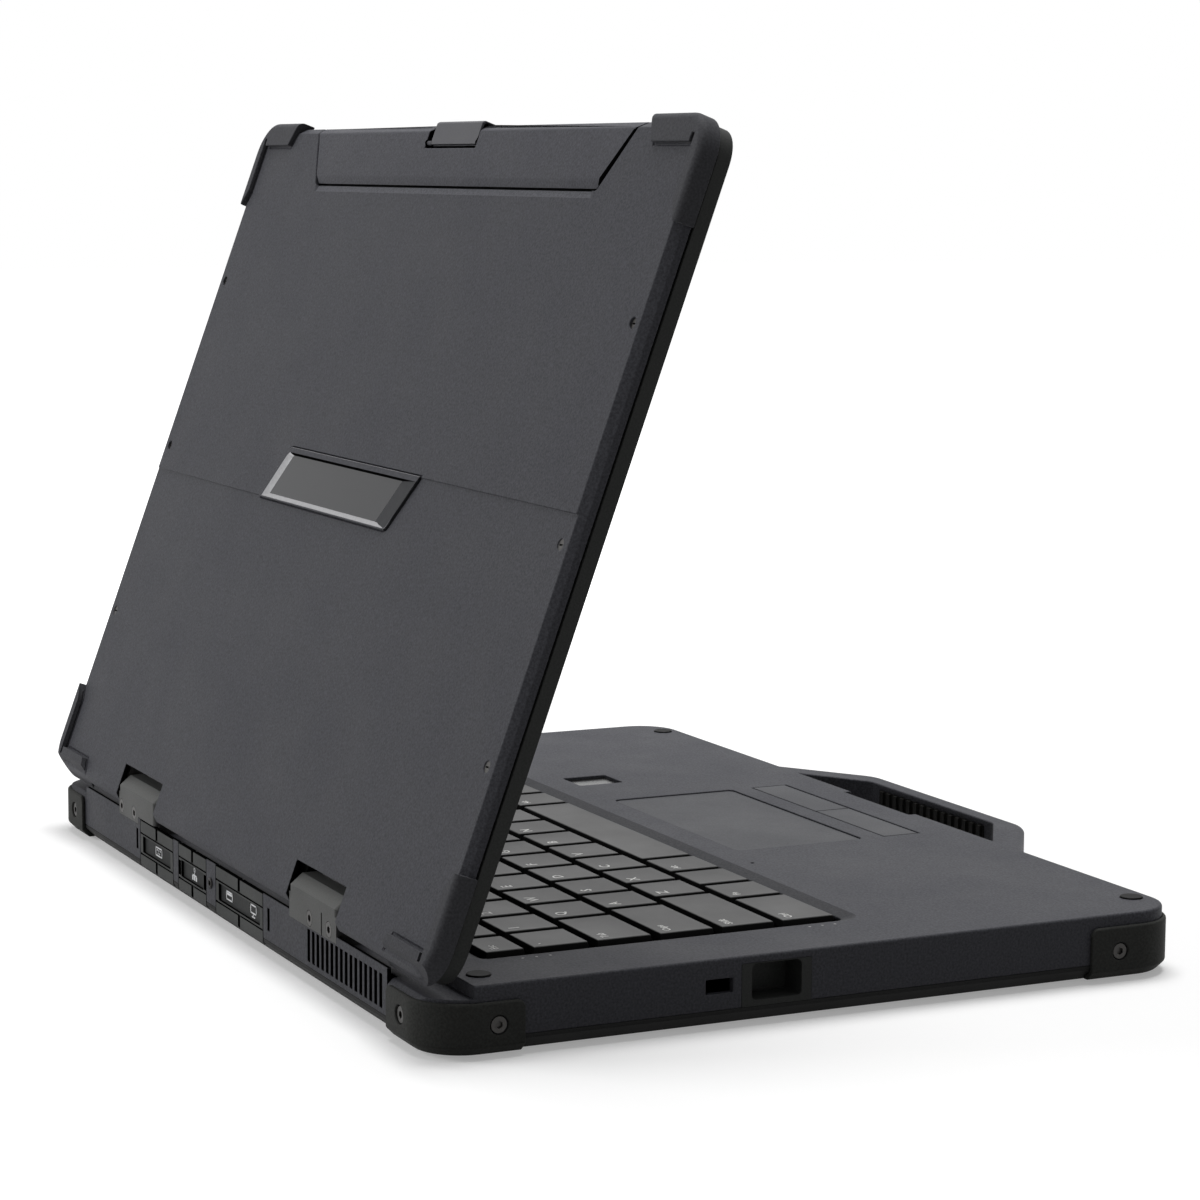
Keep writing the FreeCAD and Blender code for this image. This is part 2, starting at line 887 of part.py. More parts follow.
def key_rows():
    """Each row's name, front edge, depth and key widths in pitches, from the rear."""
    rows = [("keys_function_row", function_pitch, [keyboard_units / 15] * 15)]
    rows.append(("keys_number_row", key_pitch, [1] * 13 + [keyboard_units - 13]))
    rows.append(("keys_upper_row", key_pitch, [1.5] + [1] * 12 + [keyboard_units - 13.5]))
    rows.append(("keys_home_row", key_pitch, [1.78] + [1] * 11 + [keyboard_units - 12.78]))
    rows.append(("keys_lower_row", key_pitch, [2.16] + [1] * 10 + [keyboard_units - 12.16]))
    ends = [1.63, 1, 1, 1], [1] * 5
    space = keyboard_units - sum(ends[0] + ends[1])
    rows.append(("keys_bottom_row", key_pitch, ends[0] + [space] + ends[1]))
    return rows


def key_places():
    """The name and the four sides of every key."""
    places = []
    y1 = keys_rear
    for name, depth, widths in key_rows():
        x = keys_left
        for units in widths:
            wide = units * key_pitch
            node = "space_bar" if name == "keys_bottom_row" and units == max(widths) else name
            half = key_gap / 2
            places.append((node, x + half, x + wide - half, y1 - depth + half, y1 - half))
            x += wide
        y1 -= depth
    return places


def keys_of(node):
    solids = []
    for name, *sides in key_places():
        if name == node:
            cap, stem = key_cap(*sides)
            solids.append(cap.fuse(stem).removeSplitter())
    return solids


def keyboard_tray():
    """The pan below the keys, with a guide hole for each stem."""
    x = -keys_left + well_margin + tray_rim
    y0 = keys_front - well_margin - tray_rim
    y1 = keys_rear + well_margin + tray_rim
    pan = block(-x, x, y0, y1, tray_z, deck_z - deck_t)
    r = tray_rim
    pan = pan.cut(block(-x + r, x - r, y0 + r, y1 - r, tray_top, deck_z - deck_t))
    half = stem_w / 2 + fit_gap
    holes = []
    for _, x0, x1, near, far in key_places():
        mid_x = (x0 + x1) / 2
        mid_y = (near + far) / 2
        holes.append(block(mid_x - half, mid_x + half, mid_y - half, mid_y + half, tray_z, tray_top))
    return pan.cut(holes)


def touchpad():
    """The pad in its opening, with a flange under the deck."""
    top = deck_z - touchpad_drop
    y0 = front_y + touchpad_y0
    y1 = front_y + touchpad_y1
    pad = block(touchpad_x0, touchpad_x1, y0, y1, deck_z - deck_t, top, touchpad_r)
    g = flange_w + slot_gap
    under = deck_z - deck_t
    flange = block(touchpad_x0 - g, touchpad_x1 + g, y0 - g, y1 + g, under - touchpad_t, under)
    return pad.fuse(flange).removeSplitter()


def touchpad_button(x0, x1):
    top = deck_z
    y0 = front_y + button_y0
    y1 = front_y + button_y1
    cap = block(x0, x1, y0, y1, top - button_t, top)
    foot_z = deck_z - deck_t - button_rest
    lip = block(x0, x1, y0 - flange_w, y1 + flange_w, foot_z - flange_t, foot_z)
    web = block(x0, x1, y0, y1, foot_z - flange_t, top)
    return cap.fuse([lip, web]).removeSplitter()


def button_middle():
    return (touchpad_x0 + touchpad_x1) / 2


def touchpad_button_left():
    return touchpad_button(touchpad_x0, button_middle() - button_split / 2)


def touchpad_button_right():
    return touchpad_button(button_middle() + button_split / 2, touchpad_x1)


def fingerprint_reader():
    """A sensor sunk in the deck, carried by a flange below."""
    y0 = front_y + finger_y0
    y1 = front_y + finger_y1
    pad = block(finger_x0, finger_x1, y0, y1, deck_z - deck_t, deck_z - finger_drop, finger_r)
    g = flange_w
    under = deck_z - deck_t
    flange = block(finger_x0 - g, finger_x1 + g, y0 - g, y1 + g, under - finger_t, under)
    return pad.fuse(flange).removeSplitter()


def power_button():
    half_w = power_w / 2
    half_d = power_d / 2
    mid = front_y + power_y
    cap = block(power_x - half_w, power_x + half_w, mid - half_d, mid + half_d, deck_z - button_t, deck_z,
                half_d * end_round)
    foot_z = deck_z - deck_t - button_rest
    lip = block(power_x - half_w - flange_w, power_x + half_w + flange_w, mid - half_d, mid + half_d,
                foot_z - flange_t, foot_z)
    neck = half_w - half_d
    web = block(power_x - neck, power_x + neck, mid - half_d, mid + half_d, foot_z, deck_z - deck_t)
    return cap.fuse([lip, web]).removeSplitter()


def hinge_housing(mid):
    """A housing on the shelf with a sloping top and an apron down the rear wall."""
    x0 = mid - hinge_w / 2
    x1 = mid + hinge_w / 2
    y0 = axis_y - axis_back
    top = axis_z + axis_back
    profile = [(y0, shelf_z), (y0, top - housing_front_cut), (y0 + housing_front_cut, top),
               (rear_y - housing_slope_d, top), (rear_y, top - housing_slope_h), (rear_y, shelf_z)]
    post = beam(profile, x0, x1)
    ends = [e for e in post.Edges if e.BoundBox.XLength < TINY and e.BoundBox.ZMax > axis_z]
    post = post.makeFillet(housing_round, ends)
    apron = block(*apron_ends(mid), rear_y - parapet_t, rear_y, deck_z - apron_drop, axis_z)
    skirt_y = rear_y - flap_t - fit_gap
    post = post.cut(block(x0, x1, skirt_y, rear_y, shelf_z, deck_z - skirt_drop))
    body = post.fuse(apron).removeSplitter()
    half = housing_slit_w / 2
    z0 = deck_z - apron_drop
    slit = block(housing_slit_x - half, housing_slit_x + half, rear_y - housing_slit_d, rear_y, z0,
                 z0 + housing_slit_h)
    side = 1 if mid > 0 else -1
    outer = mid + side * hinge_w / 2
    ends = sorted((outer, outer - side * pin_in))
    bore = rod_x(ends[0] - fit_gap, ends[1] + fit_gap, axis_y, axis_z, pin_r + pin_gap)
    return body.cut([bore, slit] + screw_holes(hinge_screw_seats()))


def hinge_pin(side):
    outer = side * (hinge_x + hinge_w / 2)
    ends = sorted((outer - side * pin_in, outer + side * pin_out))
    return rod_x(ends[0], ends[1], axis_y, axis_z, pin_r)


def hinge_pins():
    return [hinge_pin(side) for side in (-1, 1)]


def bracket_room(side, gap=0.0):
    """The space in the lid that a hinge bracket takes."""
    start = side * (hinge_x + hinge_w / 2 + notch_gap + pin_gap)
    stop = start + side * (bracket_w + gap)
    x0, x1 = sorted((start - side * gap, stop))
    z0 = axis_z - bracket_h / 2
    z1 = axis_z + bracket_h / 2 + gap
    return block(x0, x1, axis_y - bracket_front - gap, axis_y + pin_r + bracket_back + gap, z0, z1)


def hinge_brackets():
    brackets = []
    for side in (-1, 1):
        bore = hinge_pin(side)
        brackets.append(bracket_room(side).cut(bore))
    return brackets


def lid_notches():
    """Room in the lid for the two hinge housings."""
    half = hinge_w / 2 + notch_gap
    y0 = axis_y - notch_reach
    z = bezel_z, back_top
    return [block(x - half, x + half, y0, lid_rear, *z) for x in (-hinge_x, hinge_x)]


def back_envelope():
    body = block(left_x, right_x, lid_front, lid_rear, back_z, back_top, lid_corner_r)
    return body.makeChamfer(back_chamfer, level(body, back_top))


def badge_outline(insets, z0, z1):
    """A leaning panel with two round corners, drawn in at its top, foot, right and left."""
    top, foot, right, left = insets
    mid = front_y + badge_front
    y0 = mid - badge_d / 2 + top
    y1 = mid + badge_d / 2 - foot
    lean = badge_slant / badge_d
    x1 = badge_w / 2 - right
    x0 = left - badge_w / 2
    points = [(x + lean * (y - mid), y) for x, y in ((x1, y0), (x1, y1), (x0, y1), (x0, y0))]
    panel = prism(points, z0, z1)
    sharp = [e for e in upright(panel) if e.BoundBox.XMin * (e.BoundBox.YMin - mid) < 0]
    return panel.makeFillet(badge_round - badge_round_cut * min(foot, badge_round), sharp)


def badge_inner():
    """How far the window's outline is drawn in."""
    return [rim + bevel for rim, bevel in zip(badge_rims, badge_bevels)]


def crease_cut():
    """A thin step that lowers the half of the back cover nearest the hinges."""
    z0 = back_top - crease_drop
    right = front_y + crease_right
    left = front_y + crease_left
    lean = badge_slant / 2
    half = badge_w / 2
    points = [(right_x, right), (half + lean, right), (-half - lean, left), (left_x, left),
              (left_x, lid_rear), (right_x, lid_rear)]
    return prism(points, z0, back_top)


def top_panel_outline(gap, z0, z1):
    long_half = top_panel_long / 2 + gap
    short_half = top_panel_short / 2 + gap
    mid = top_panel_mid
    y1 = lid_front + top_panel_d + gap
    plan = [(mid - long_half, lid_front), (mid + long_half, lid_front)]
    plan += [(mid + short_half, y1), (mid - short_half, y1)]
    slab = prism(plan, z0, z1)
    return slab.makeFillet(top_panel_r, [e for e in upright(slab) if e.BoundBox.YMin > y1 - TINY])


def lid_screw_places():
    return [(x, front_y + y) for x in (-lid_screw_x, lid_screw_x) for y in lid_screw_y]


def lid_back_cover():
    shell = back_envelope()
    w = back_wall
    hollow = block(left_x + w, right_x - w, lid_front + w, lid_rear - w, back_z, roof_z, lid_corner_r - w)
    shell = shell.cut(hollow)
    lugs = [rod_z(back_z, roof_z, x, y, lid_screw_r + lid_lug_wall) for x, y in lid_screw_places()]
    rib = beam([(axis_y - notch_reach - w, back_z), (axis_y - notch_reach, back_z),
                (axis_y - notch_reach, roof_z), (axis_y - notch_reach - w, roof_z)],
               -hinge_x - hinge_w / 2, hinge_x + hinge_w / 2)
    pocket = badge_outline([-badge_wall] * 4, back_top - badge_depth - badge_floor, roof_z)
    shell = shell.fuse(lugs + [rib, pocket])
    cuts = [crease_cut(), badge_outline([-badge_gap] * 4, back_top - badge_depth, back_top)]
    cuts.append(top_panel_outline(trim_gap, back_z, back_top))
    cuts += lid_notches()
    cuts += [bracket_room(side, fit_gap) for side in (-1, 1)]
    cuts += [rod_z(back_top - lid_screw_l, back_top, x, y, lid_screw_r) for x, y in lid_screw_places()]
    cuts += [hinge_pin(side) for side in (-1, 1)]
    cuts += lid_bumper_grooves()
    return shell.cut(cuts)


def lid_screws():
    screws = []
    for x, y in lid_screw_places():
        z1 = back_top - lid_screw_sink
        body = rod_z(back_top - lid_screw_l, z1, x, y, lid_screw_r)
        long = lid_screw_r - lid_screw_slot
        half = lid_screw_slot / 2
        screws.append(body.cut(block(x - long, x + long, y - half, y + half, z1 - lid_screw_slot, z1)))
    return screws


def badge_frame():
    """A rim whose inner sides slope down to the window."""
    z0 = back_top - badge_depth
    z1 = back_top + badge_proud
    ring = badge_outline([0] * 4, z0, z1)
    low = badge_outline(badge_inner(), z0, z0 + badge_window_t)
    high = badge_outline(badge_rims, z0, z1)
    edges = level(low, z0 + badge_window_t), level(high, z1)
    rims = [Part.Wire(Part.sortEdges(loop)[0]) for loop in edges]
    return ring.cut([low, Part.makeLoft(rims, True, True)])


def badge_window():
    z0 = back_top - badge_depth
    return badge_outline(badge_inner(), z0, z0 + badge_window_t)


def latch_bay():
    half = latch_w / 2 + fit_gap
    y1 = lid_front + latch_d + latch_bay_gap
    return half, y1


def lid_top_panel():
    """The antenna cover across the lid's front edge, with the latch's bay in its middle."""
    slab = top_panel_outline(0, roof_z, back_top)
    rim = block(left_x, right_x, lid_front, lid_front + back_wall, back_z, back_top)
    rim = rim.common(top_panel_outline(0, back_z, back_top))
    half, y1 = latch_bay()
    w = latch_bay_wall
    floor = latch_floor()
    bay = block(-half - w, half + w, lid_front, y1 + w, floor - latch_bay_floor, back_top)
    body = slab.fuse([rim, bay])
    edge = [(lid_front, back_top), (lid_front + back_chamfer, back_top), (lid_front, back_top - back_chamfer)]
    slope = beam(edge, left_x, right_x)
    cuts = [block(-half, half, lid_front, y1, floor, back_top), slope]
    pin_half = latch_w / 2 + latch_pin_out + fit_gap
    cuts.append(rod_x(-pin_half, pin_half, *latch_axis(), latch_pin_r + pin_gap))
    return body.cut(cuts).removeSplitter()


def latch_floor():
    return back_top - latch_t - latch_axis_down


def latch_axis():
    return lid_front + latch_axis_in, back_top - latch_axis_down


def lid_latch():
    """A lever on the lid's front edge whose hook reaches down to the base."""
    half = latch_w / 2
    top = back_top + latch_proud
    y0 = lid_front - fit_gap
    plate_low = top - latch_t
    low = deck_z - latch_hook
    y1 = lid_front + latch_d
    skin = y0 - latch_t
    tip = skin + latch_lip
    profile = [(skin, low), (tip, low), (tip, low + latch_lip_t), (y0, low + latch_lip_t), (y0, plate_low),
               (y1, plate_low), (y1, top), (skin + latch_edge, top), (skin, top - latch_edge)]
    body = beam(profile, -half, half)
    pin = rod_x(-half - latch_pin_out, half + latch_pin_out, *latch_axis(), latch_pin_r)
    return body.fuse(pin).removeSplitter()


def lid_bumper_plan(front, z0, z1):
    """The right bumper's outline: a lip with a slanted end, a tapered side leg and a notch between them."""
    edge, turn = (lid_front, 1) if front else (lid_rear, -1)
    reach = lid_bumper_front if front else lid_bumper_rear
    out = right_x + lid_corner_r
    side = right_x - lid_bumper_side_lip
    notch = side - lid_bumper_notch_w
    short = right_x - lid_bumper_x
    far = short - lid_bumper_slant
    lip = lid_bumper_lip
    corners = [(far, -lid_corner_r), (out, -lid_corner_r), (out, reach), (right_x - lid_bumper_tip, reach)]
    corners += [(side, reach - lid_bumper_taper), (side, lip - lid_bumper_notch_d)]
    corners += [(notch, lip - lid_bumper_notch_d), (notch, lip), (short, lip), (far, -lid_bumper_proud)]
    return prism([(x, edge + turn * deep) for x, deep in corners], z0, z1)


def lid_bumper_grooves():
    """A narrow groove in the back cover along the inner outline of every bumper."""
    grooves = []
    for front in (True, False):
        plan = lid_bumper_plan(front, back_top - lid_bumper_groove_d, back_top)
        moved = plan.copy()
        turn = 1 if front else -1
        moved.translate(V(-lid_bumper_groove, turn * lid_bumper_groove, 0))
        groove = moved.cut(plan)
        grooves += [groove, flipped(groove)]
    return grooves


def lid_bumpers(front):
    """One pair of lid bumpers, wrapped over the back cover's edges."""
    p = lid_bumper_proud
    top = back_top + lid_bumper_rise
    shell = block(left_x - p, right_x + p, lid_front - p, lid_rear + p, back_z, top, lid_corner_r + p)
    shell = shell.makeFillet(lid_bumper_round, level(shell, top))
    shell = shell.cut(back_envelope())
    right = shell.common(lid_bumper_plan(front, back_z, top))
    if not front:
        heel = p + lid_bumper_rise + back_chamfer + lid_bumper_heel
        far = lid_corner_r
        edge = lid_rear + p
        slope = beam([(edge - heel, top), (edge, top), (edge, top - heel)], left_x - far, right_x + far)
        right = right.cut(slope)
    return [right, flipped(right)]


def lid_bumpers_top():
    return lid_bumpers(True)


def lid_bumpers_bottom():
    return lid_bumpers(False)


def window_sides(grow):
    half = window_w / 2 + grow
    y0 = front_y + window_front - grow
    return -half, half, y0, y0 + window_d + 2 * grow


def lid_bezel():
    body = block(left_x, right_x, lid_front, lid_rear, bezel_z, bezel_top, lid_corner_r)
    g = groove_d
    rim = block(left_x + g, right_x - g, lid_front + g, lid_rear - g, bezel_top, back_z, lid_corner_r - g)
    body = body.fuse(rim)
    ledge_z = bezel_z + glass_t
    panel_z = ledge_z + ledge_t
    cuts = [block(*window_sides(0), bezel_z, back_z), block(*window_sides(glass_lip), bezel_z, ledge_z)]
    cuts.append(block(*window_sides(panel_lip), panel_z, back_z))
    half = camera_w / 2
    y0 = front_y + camera_front - camera_d / 2
    cuts.append(block(-half, half, y0, y0 + camera_d, back_z - camera_t, back_z))
    cuts.append(rod_z(bezel_z, back_z, 0, front_y + camera_front, lens_r))
    cuts += lid_notches()
    cuts += [bracket_room(side, fit_gap) for side in (-1, 1)]
    cuts += [hinge_pin(side) for side in (-1, 1)]
    return body.cut(cuts)


def screen_glass():
    x0, x1, y0, y1 = window_sides(glass_lip)
    return block(x0, x1, y0, y1, bezel_z, bezel_z + glass_t)


def display_panel():
    z0 = bezel_z + glass_t + ledge_t
    return block(*window_sides(panel_lip), z0, z0 + panel_t)


def camera_module():
    half = camera_w / 2
    mid = front_y + camera_front
    z0 = back_z - camera_t
    body = block(-half, half, mid - camera_d / 2, mid + camera_d / 2, z0, back_z)
    lens = rod_z(bezel_z + lens_sink, z0, 0, mid, lens_r)
    return body.fuse(lens).removeSplitter()


def port_cover(ends):
    """A hinged cover on two end pins, with a sunk middle between two bands of tabs."""
    x1, x0 = ends
    z0 = deck_z - flap_bottom
    z1 = deck_z - flap_top
    y, z = flap_axis()
    leaf = block(x0, x1, rear_y - flap_t, rear_y, z, z1)
    heel = rod_x(x0, x1, y, z, flap_t / 2)
    pins = rod_x(x0 - flap_pin_out, x1 + flap_pin_out, y, z, flap_pin_r)
    body = leaf.fuse([heel, pins])
    face = rear_y - flap_groove_d
    cuts = [flap_middle(x0, x1, z0, z1)]
    half = flap_notch_w / 2
    mid = (x0 + x1) / 2
    cuts.append(block(mid - half, mid + half, rear_y - flap_t, rear_y, z1 - flap_band, z1))
    cuts.append(block(mid - half, mid + half, face, rear_y, z0, z0 + flap_band))
    g = flap_groove_w
    for low in (z0 + flap_band, z1 - flap_band - g):
        cuts.append(block(x0, x1, face, rear_y, low, low + g))
    return body.cut(cuts).removeSplitter()


def flap_middle(x0, x1, z0, z1):
    """The sunk field in the middle of a cover."""
    b = flap_border
    field = block(x0 + b, x1 - b, rear_y - flap_recess, rear_y, z0 + flap_band + 1, z1 - flap_band - 1)
    deep = [e for e in field.Edges if e.BoundBox.YLength > flap_recess - TINY]
    return field.makeFillet(flap_groove_w, deep)


def network_cover():
    """The middle cover, plain but for its field and two finger-nail notches."""
    x1, x0 = network_x
    z = deck_z - (flap_top + flap_bottom) / 2
    half = flap_nail_h / 2
    y0 = rear_y - flap_nail_d
    nails = [block(x, x + flap_nail_w, y0, rear_y, z - half, z + half) for x in (x0, x1 - flap_nail_w)]
    return port_cover(network_x).cut(nails)


def socket_y():
    return rear_y - bay_depth


def socket_z():
    return deck_z - socket_drop


def middle(ends):
    return (ends[0] + ends[1]) / 2


def serial_shell(inset, y0, y1):
    """The D-shaped nose of the serial port."""
    x = middle(serial_x)
    z = socket_z()
    top = serial_w / 2 - inset
    low = top - serial_lean
    h = serial_h / 2 - inset
    loop = [V(x - top, y0, z + h), V(x + top, y0, z + h), V(x + low, y0, z - h), V(x - low, y0, z - h)]
    return Part.Face(Part.makePolygon(loop + loop[:1])).extrude(V(0, y1 - y0, 0))


def serial_socket():
    """A nine-pin D-shaped plug: flange, shell and pins."""
    y1 = socket_y()
    y0 = y1 - serial_nose
    z = socket_z()
    x = middle(serial_x)
    half_w = serial_flange_w / 2
    half_h = serial_flange_h / 2
    flange = block(x - half_w, x + half_w, y0 - serial_flange_t, y0, z - half_h, z + half_h)
    body = block(x - serial_w / 2, x + serial_w / 2, y1 - socket_d, y0, z - serial_h / 2, z + serial_h / 2)
    nose = serial_shell(0, y0, y1).cut(serial_shell(usb_t, y0, y1))
    pins = []
    for row, count in ((serial_row, 5), (-serial_row, 4)):
        for i in range(count):
            px = x + (i - (count - 1) / 2) * serial_pitch
            pins.append(rod_y(y0, y1 - serial_pin_sink, px, z + row, serial_pin_r))
    return flange.fuse([body, nose] + pins).removeSplitter()


def network_socket():
    """A square jack with a keyed mouth."""
    y1 = socket_y()
    z = socket_z()
    x = middle(network_x)
    half_w = network_w / 2
    half_h = network_h / 2
    body = block(x - half_w, x + half_w, y1 - socket_d, y1, z - half_h, z + half_h)
    half = network_mouth_w / 2
    h = network_mouth_h / 2
    floor = y1 - socket_d + socket_back
    mouth = block(x - half, x + half, floor, y1, z - h, z + h)
    key = block(x - half / 2, x + half / 2, floor, y1, z + h, z + h + network_key_h)
    return body.cut([mouth, key])


def flat_socket(width, height):
    """A thin metal shell with a tongue inside, its mouth at the origin and facing the rear."""
    t = usb_t
    shell = block(-width / 2, width / 2, -socket_d, 0, -height / 2, height / 2)
    hollow = block(-width / 2 + t, width / 2 - t, -socket_d + 1, 0, -height / 2 + t, height / 2 - t)
    tongue = block(-width / 2 + 1.2, width / 2 - 1.2, -socket_d + 1, -1, 0, usb_tongue / 2)
    return shell.cut(hollow).fuse(tongue).removeSplitter()


def usb_mid():
    return usb_video_x[0] - (usb_video_x[0] - usb_video_x[1]) * socket_share


def video_mid():
    return usb_video_x[1] + (usb_video_x[0] - usb_video_x[1]) * socket_share


def usb_socket():
    shape = flat_socket(usb_w, usb_h)
    shape.translate(V(usb_mid(), socket_y(), socket_z()))
    return shape


def video_socket():
    shape = flat_socket(video_w, video_h)
    shape.translate(V(video_mid(), socket_y(), socket_z()))
    return shape


def side_usb_sockets():
    sockets = []
    for y in side_port_y:
        shape = flat_socket(usb_w, usb_h)
        shape.rotate(V(0, 0, 0), V(0, 0, 1), -90)
        shape.translate(V(right_x - socket_sink, front_y + y, deck_z - side_port_drop))
        sockets.append(shape)
    return sockets


def power_inlet():
    """A round inlet with its centre contact."""
    y = front_y + inlet_y
    z = deck_z - side_port_drop
    x1 = right_x - socket_sink
    body = rod_x(x1 - socket_d, x1, y, z, inlet_r)
    floor = x1 - socket_d + socket_back
    body = body.cut(rod_x(floor, x1, y, z, inlet_bore))
    return body.fuse(rod_x(floor, x1 - socket_back, y, z, inlet_pin_r)).removeSplitter()


def headset_jack():
    y = front_y + jack_y
    z = deck_z - side_port_drop
    x1 = right_x - socket_sink
    return rod_x(x1 - socket_d, x1, y, z, jack_r).cut(rod_x(x1 - socket_d + 1, x1, y, z, jack_bore))


def board_z():
    return deck_z - board_drop - board_t


def main_board():
    """The board with its main chip and two rows of regulators."""
    z0 = board_z()
    z1 = z0 + board_t
    board = block(board_x0, board_x1, front_y + board_y0, front_y + board_y1, z0, z1)
    half = chip_w / 2
    y = front_y + chip_y
    chip = block(chip_x - half, chip_x + half, y - half, y + half, z0 - chip_t, z0)
    coils = []
    for i in range(coil_count):
        x = chip_x + half + coil_w * (1 + 1.5 * i)
        coils.append(block(x, x + coil_w, y - coil_w / 2, y + coil_w / 2, z0 - chip_t, z0))
    return board.fuse([chip] + coils).removeSplitter()


def memory_module():
    z1 = board_z()
    y0 = front_y + memory_y0
    return block(memory_x0, memory_x0 + memory_w, y0, y0 + memory_d, z1 - memory_t, z1)


def storage_drive():
    z1 = board_z()
    y0 = front_y + drive_y0
    return block(drive_x0, drive_x0 + drive_w, y0, y0 + drive_d, z1 - drive_t, z1)


def battery_pack():
    """A flat pack with grooves between its cells."""
    half = battery_w / 2
    y0 = front_y + battery_front
    y1 = y0 + battery_d
    z1 = floor_z + battery_t
    pack = block(-half, half, y0, y1, floor_z, z1, battery_r)
    step = battery_w / battery_cells
    grooves = []
    for i in range(1, battery_cells):
        x = -half + i * step
        half_w = battery_groove_w / 2
        grooves.append(block(x - half_w, x + half_w, y0, y1, z1 - battery_groove, z1))
    return pack.cut(grooves)


def fan_top():
    return floor_z + fan_t


def fan_housing():
    """A blower case, open below and towards the heat sink."""
    half = fan_w / 2
    y = fan_y_mid()
    z0 = floor_z
    z1 = fan_top()
    case = block(fan_x - half, fan_x + half, y - half, y + half, z0, z1, fan_corner_r)
    room = rod_z(z0 + fan_wall, z1 - fan_wall, fan_x, y, fan_r + fan_gap)
    eye = rod_z(z0, z0 + fan_wall, fan_x, y, fan_r - fan_eye_lip)
    throat = block(fan_x - fan_r, fan_x + fan_r, y, y + half, z0 + fan_wall, z1 - fan_wall)
    axle = rod_z(z0 + fan_wall + 1, z1 - fan_wall, fan_x, y, fan_axle_r)
    return case.cut([room, eye, throat]).fuse(axle)


def fan_rotor():
    """A hub with swept blades on the housing's axle."""
    y = fan_y_mid()
    z0 = floor_z + fan_wall + fan_rotor_gap
    z1 = fan_top() - fan_wall - fan_rotor_gap
    hub = rod_z(z0, z1, fan_x, y, fan_hub_r)
    blades = []
    for i in range(fan_blades):
        blade = block(fan_hub_r - 1, fan_r, -fan_blade_t / 2, fan_blade_t / 2, z0, z1)
        blade.rotate(V(fan_hub_r, 0, 0), V(0, 0, 1), fan_sweep)
        blade.rotate(V(0, 0, 0), V(0, 0, 1), 360.0 * i / fan_blades)
        blade.translate(V(fan_x, y, 0))
        blades.append(blade)
    wheel = hub.fuse(blades).common(rod_z(z0, z1, fan_x, y, fan_r))
    bore = rod_z(z0 - 1, z1 + 1, fan_x, y, fan_axle_r + pin_gap)
    return wheel.cut(bore).removeSplitter()


def heat_sink():
    """A row of fins behind the vents, joined by a flat heat pipe to the main chip."""
    x1 = vent_x0
    x0 = vent_x0 - vent_count * vent_pitch
    y1 = rear_y - rear_panel_t - fit_gap
    y0 = y1 - sink_d
    z0 = floor_z
    z1 = shelf_z - shelf_t - fit_gap
    pitch = (x1 - x0 - sink_fin_t) / (sink_fins - 1)
    fins = [block(x0 + i * pitch, x0 + i * pitch + sink_fin_t, y0, y1, z0, z1) for i in range(sink_fins)]
    plate = block(x0, x1, y0, y1, z0, z0 + 1)
    pipe_z = board_z() - chip_t
    y = front_y + chip_y
    half = chip_w / 2
    pad = block(chip_x - half, chip_x + half, y - half, y + half, pipe_z - pipe_t, pipe_z)
    bend = x1 + pipe_gap
    run = block(bend, chip_x, y - pipe_w / 2, y + pipe_w / 2, pipe_z - pipe_t, pipe_z)
    rise = block(bend, bend + pipe_w, y - pipe_w / 2, y0 + pipe_w, pipe_z - pipe_t, pipe_z)
    back = block(x1 - pipe_w, bend + pipe_w, y0, y0 + pipe_w, pipe_z - pipe_t, pipe_z)
    return plate.fuse(fins + [pad, run, rise, back]).removeSplitter()


def speakers():
    boxes = []
    for side in (-1, 1):
        x = side * (right_x - speaker_in)
        y = front_y + speaker_y
        box = block(x - speaker_w / 2, x + speaker_w / 2, y - speaker_d / 2, y + speaker_d / 2, floor_z,
                    floor_z + speaker_t, speaker_r)
        top = floor_z + speaker_t
        boxes.append(box.cut(rod_z(top - speaker_cone_d, top, x, y, speaker_d / 2 - speaker_r)))
    return boxes


def base_pieces():
    pieces = {
        "top_case": top_case(),
        "rear_panel": rear_panel(),
        "side_bay": side_bay(),
        "bottom_cover": bottom_cover(),
        "rubber_feet": rubber_feet(),
        "bottom_screws": bottom_screws(),
        "deck_pads": deck_pads(),
        "base_bumpers_front": base_bumpers_front(),
        "base_bumpers_rear": base_bumpers_rear(),
        "case_screws": case_screws(),
        "carry_handle": carry_handle(),
        "handle_grip": handle_grip(),
        "keyboard_tray": keyboard_tray(),
        "touchpad": touchpad(),
        "touchpad_button_left": touchpad_button_left(),
        "touchpad_button_right": touchpad_button_right(),
        "fingerprint_reader": fingerprint_reader(),
        "power_button": power_button(),
        "hinge_housing_left": hinge_housing(-hinge_x),
        "hinge_housing_right": hinge_housing(hinge_x),
        "serial_cover": port_cover(serial_x),
        "network_cover": network_cover(),
        "usb_video_cover": port_cover(usb_video_x),
        "serial_socket": serial_socket(),
        "network_socket": network_socket(),
        "usb_socket": usb_socket(),
        "video_socket": video_socket(),
        "side_usb_sockets": side_usb_sockets(),
        "power_inlet": power_inlet(),
        "headset_jack": headset_jack(),
        "main_board": main_board(),
        "memory_module": memory_module(),
        "storage_drive": storage_drive(),
        "battery_pack": battery_pack(),
        "fan_housing": fan_housing(),
        "fan_rotor": fan_rotor(),
        "heat_sink": heat_sink(),
        "speakers": speakers(),
    }
    for name, _, _ in key_rows():
        pieces[name] = keys_of(name)
    pieces["space_bar"] = keys_of("space_bar")
    return pieces


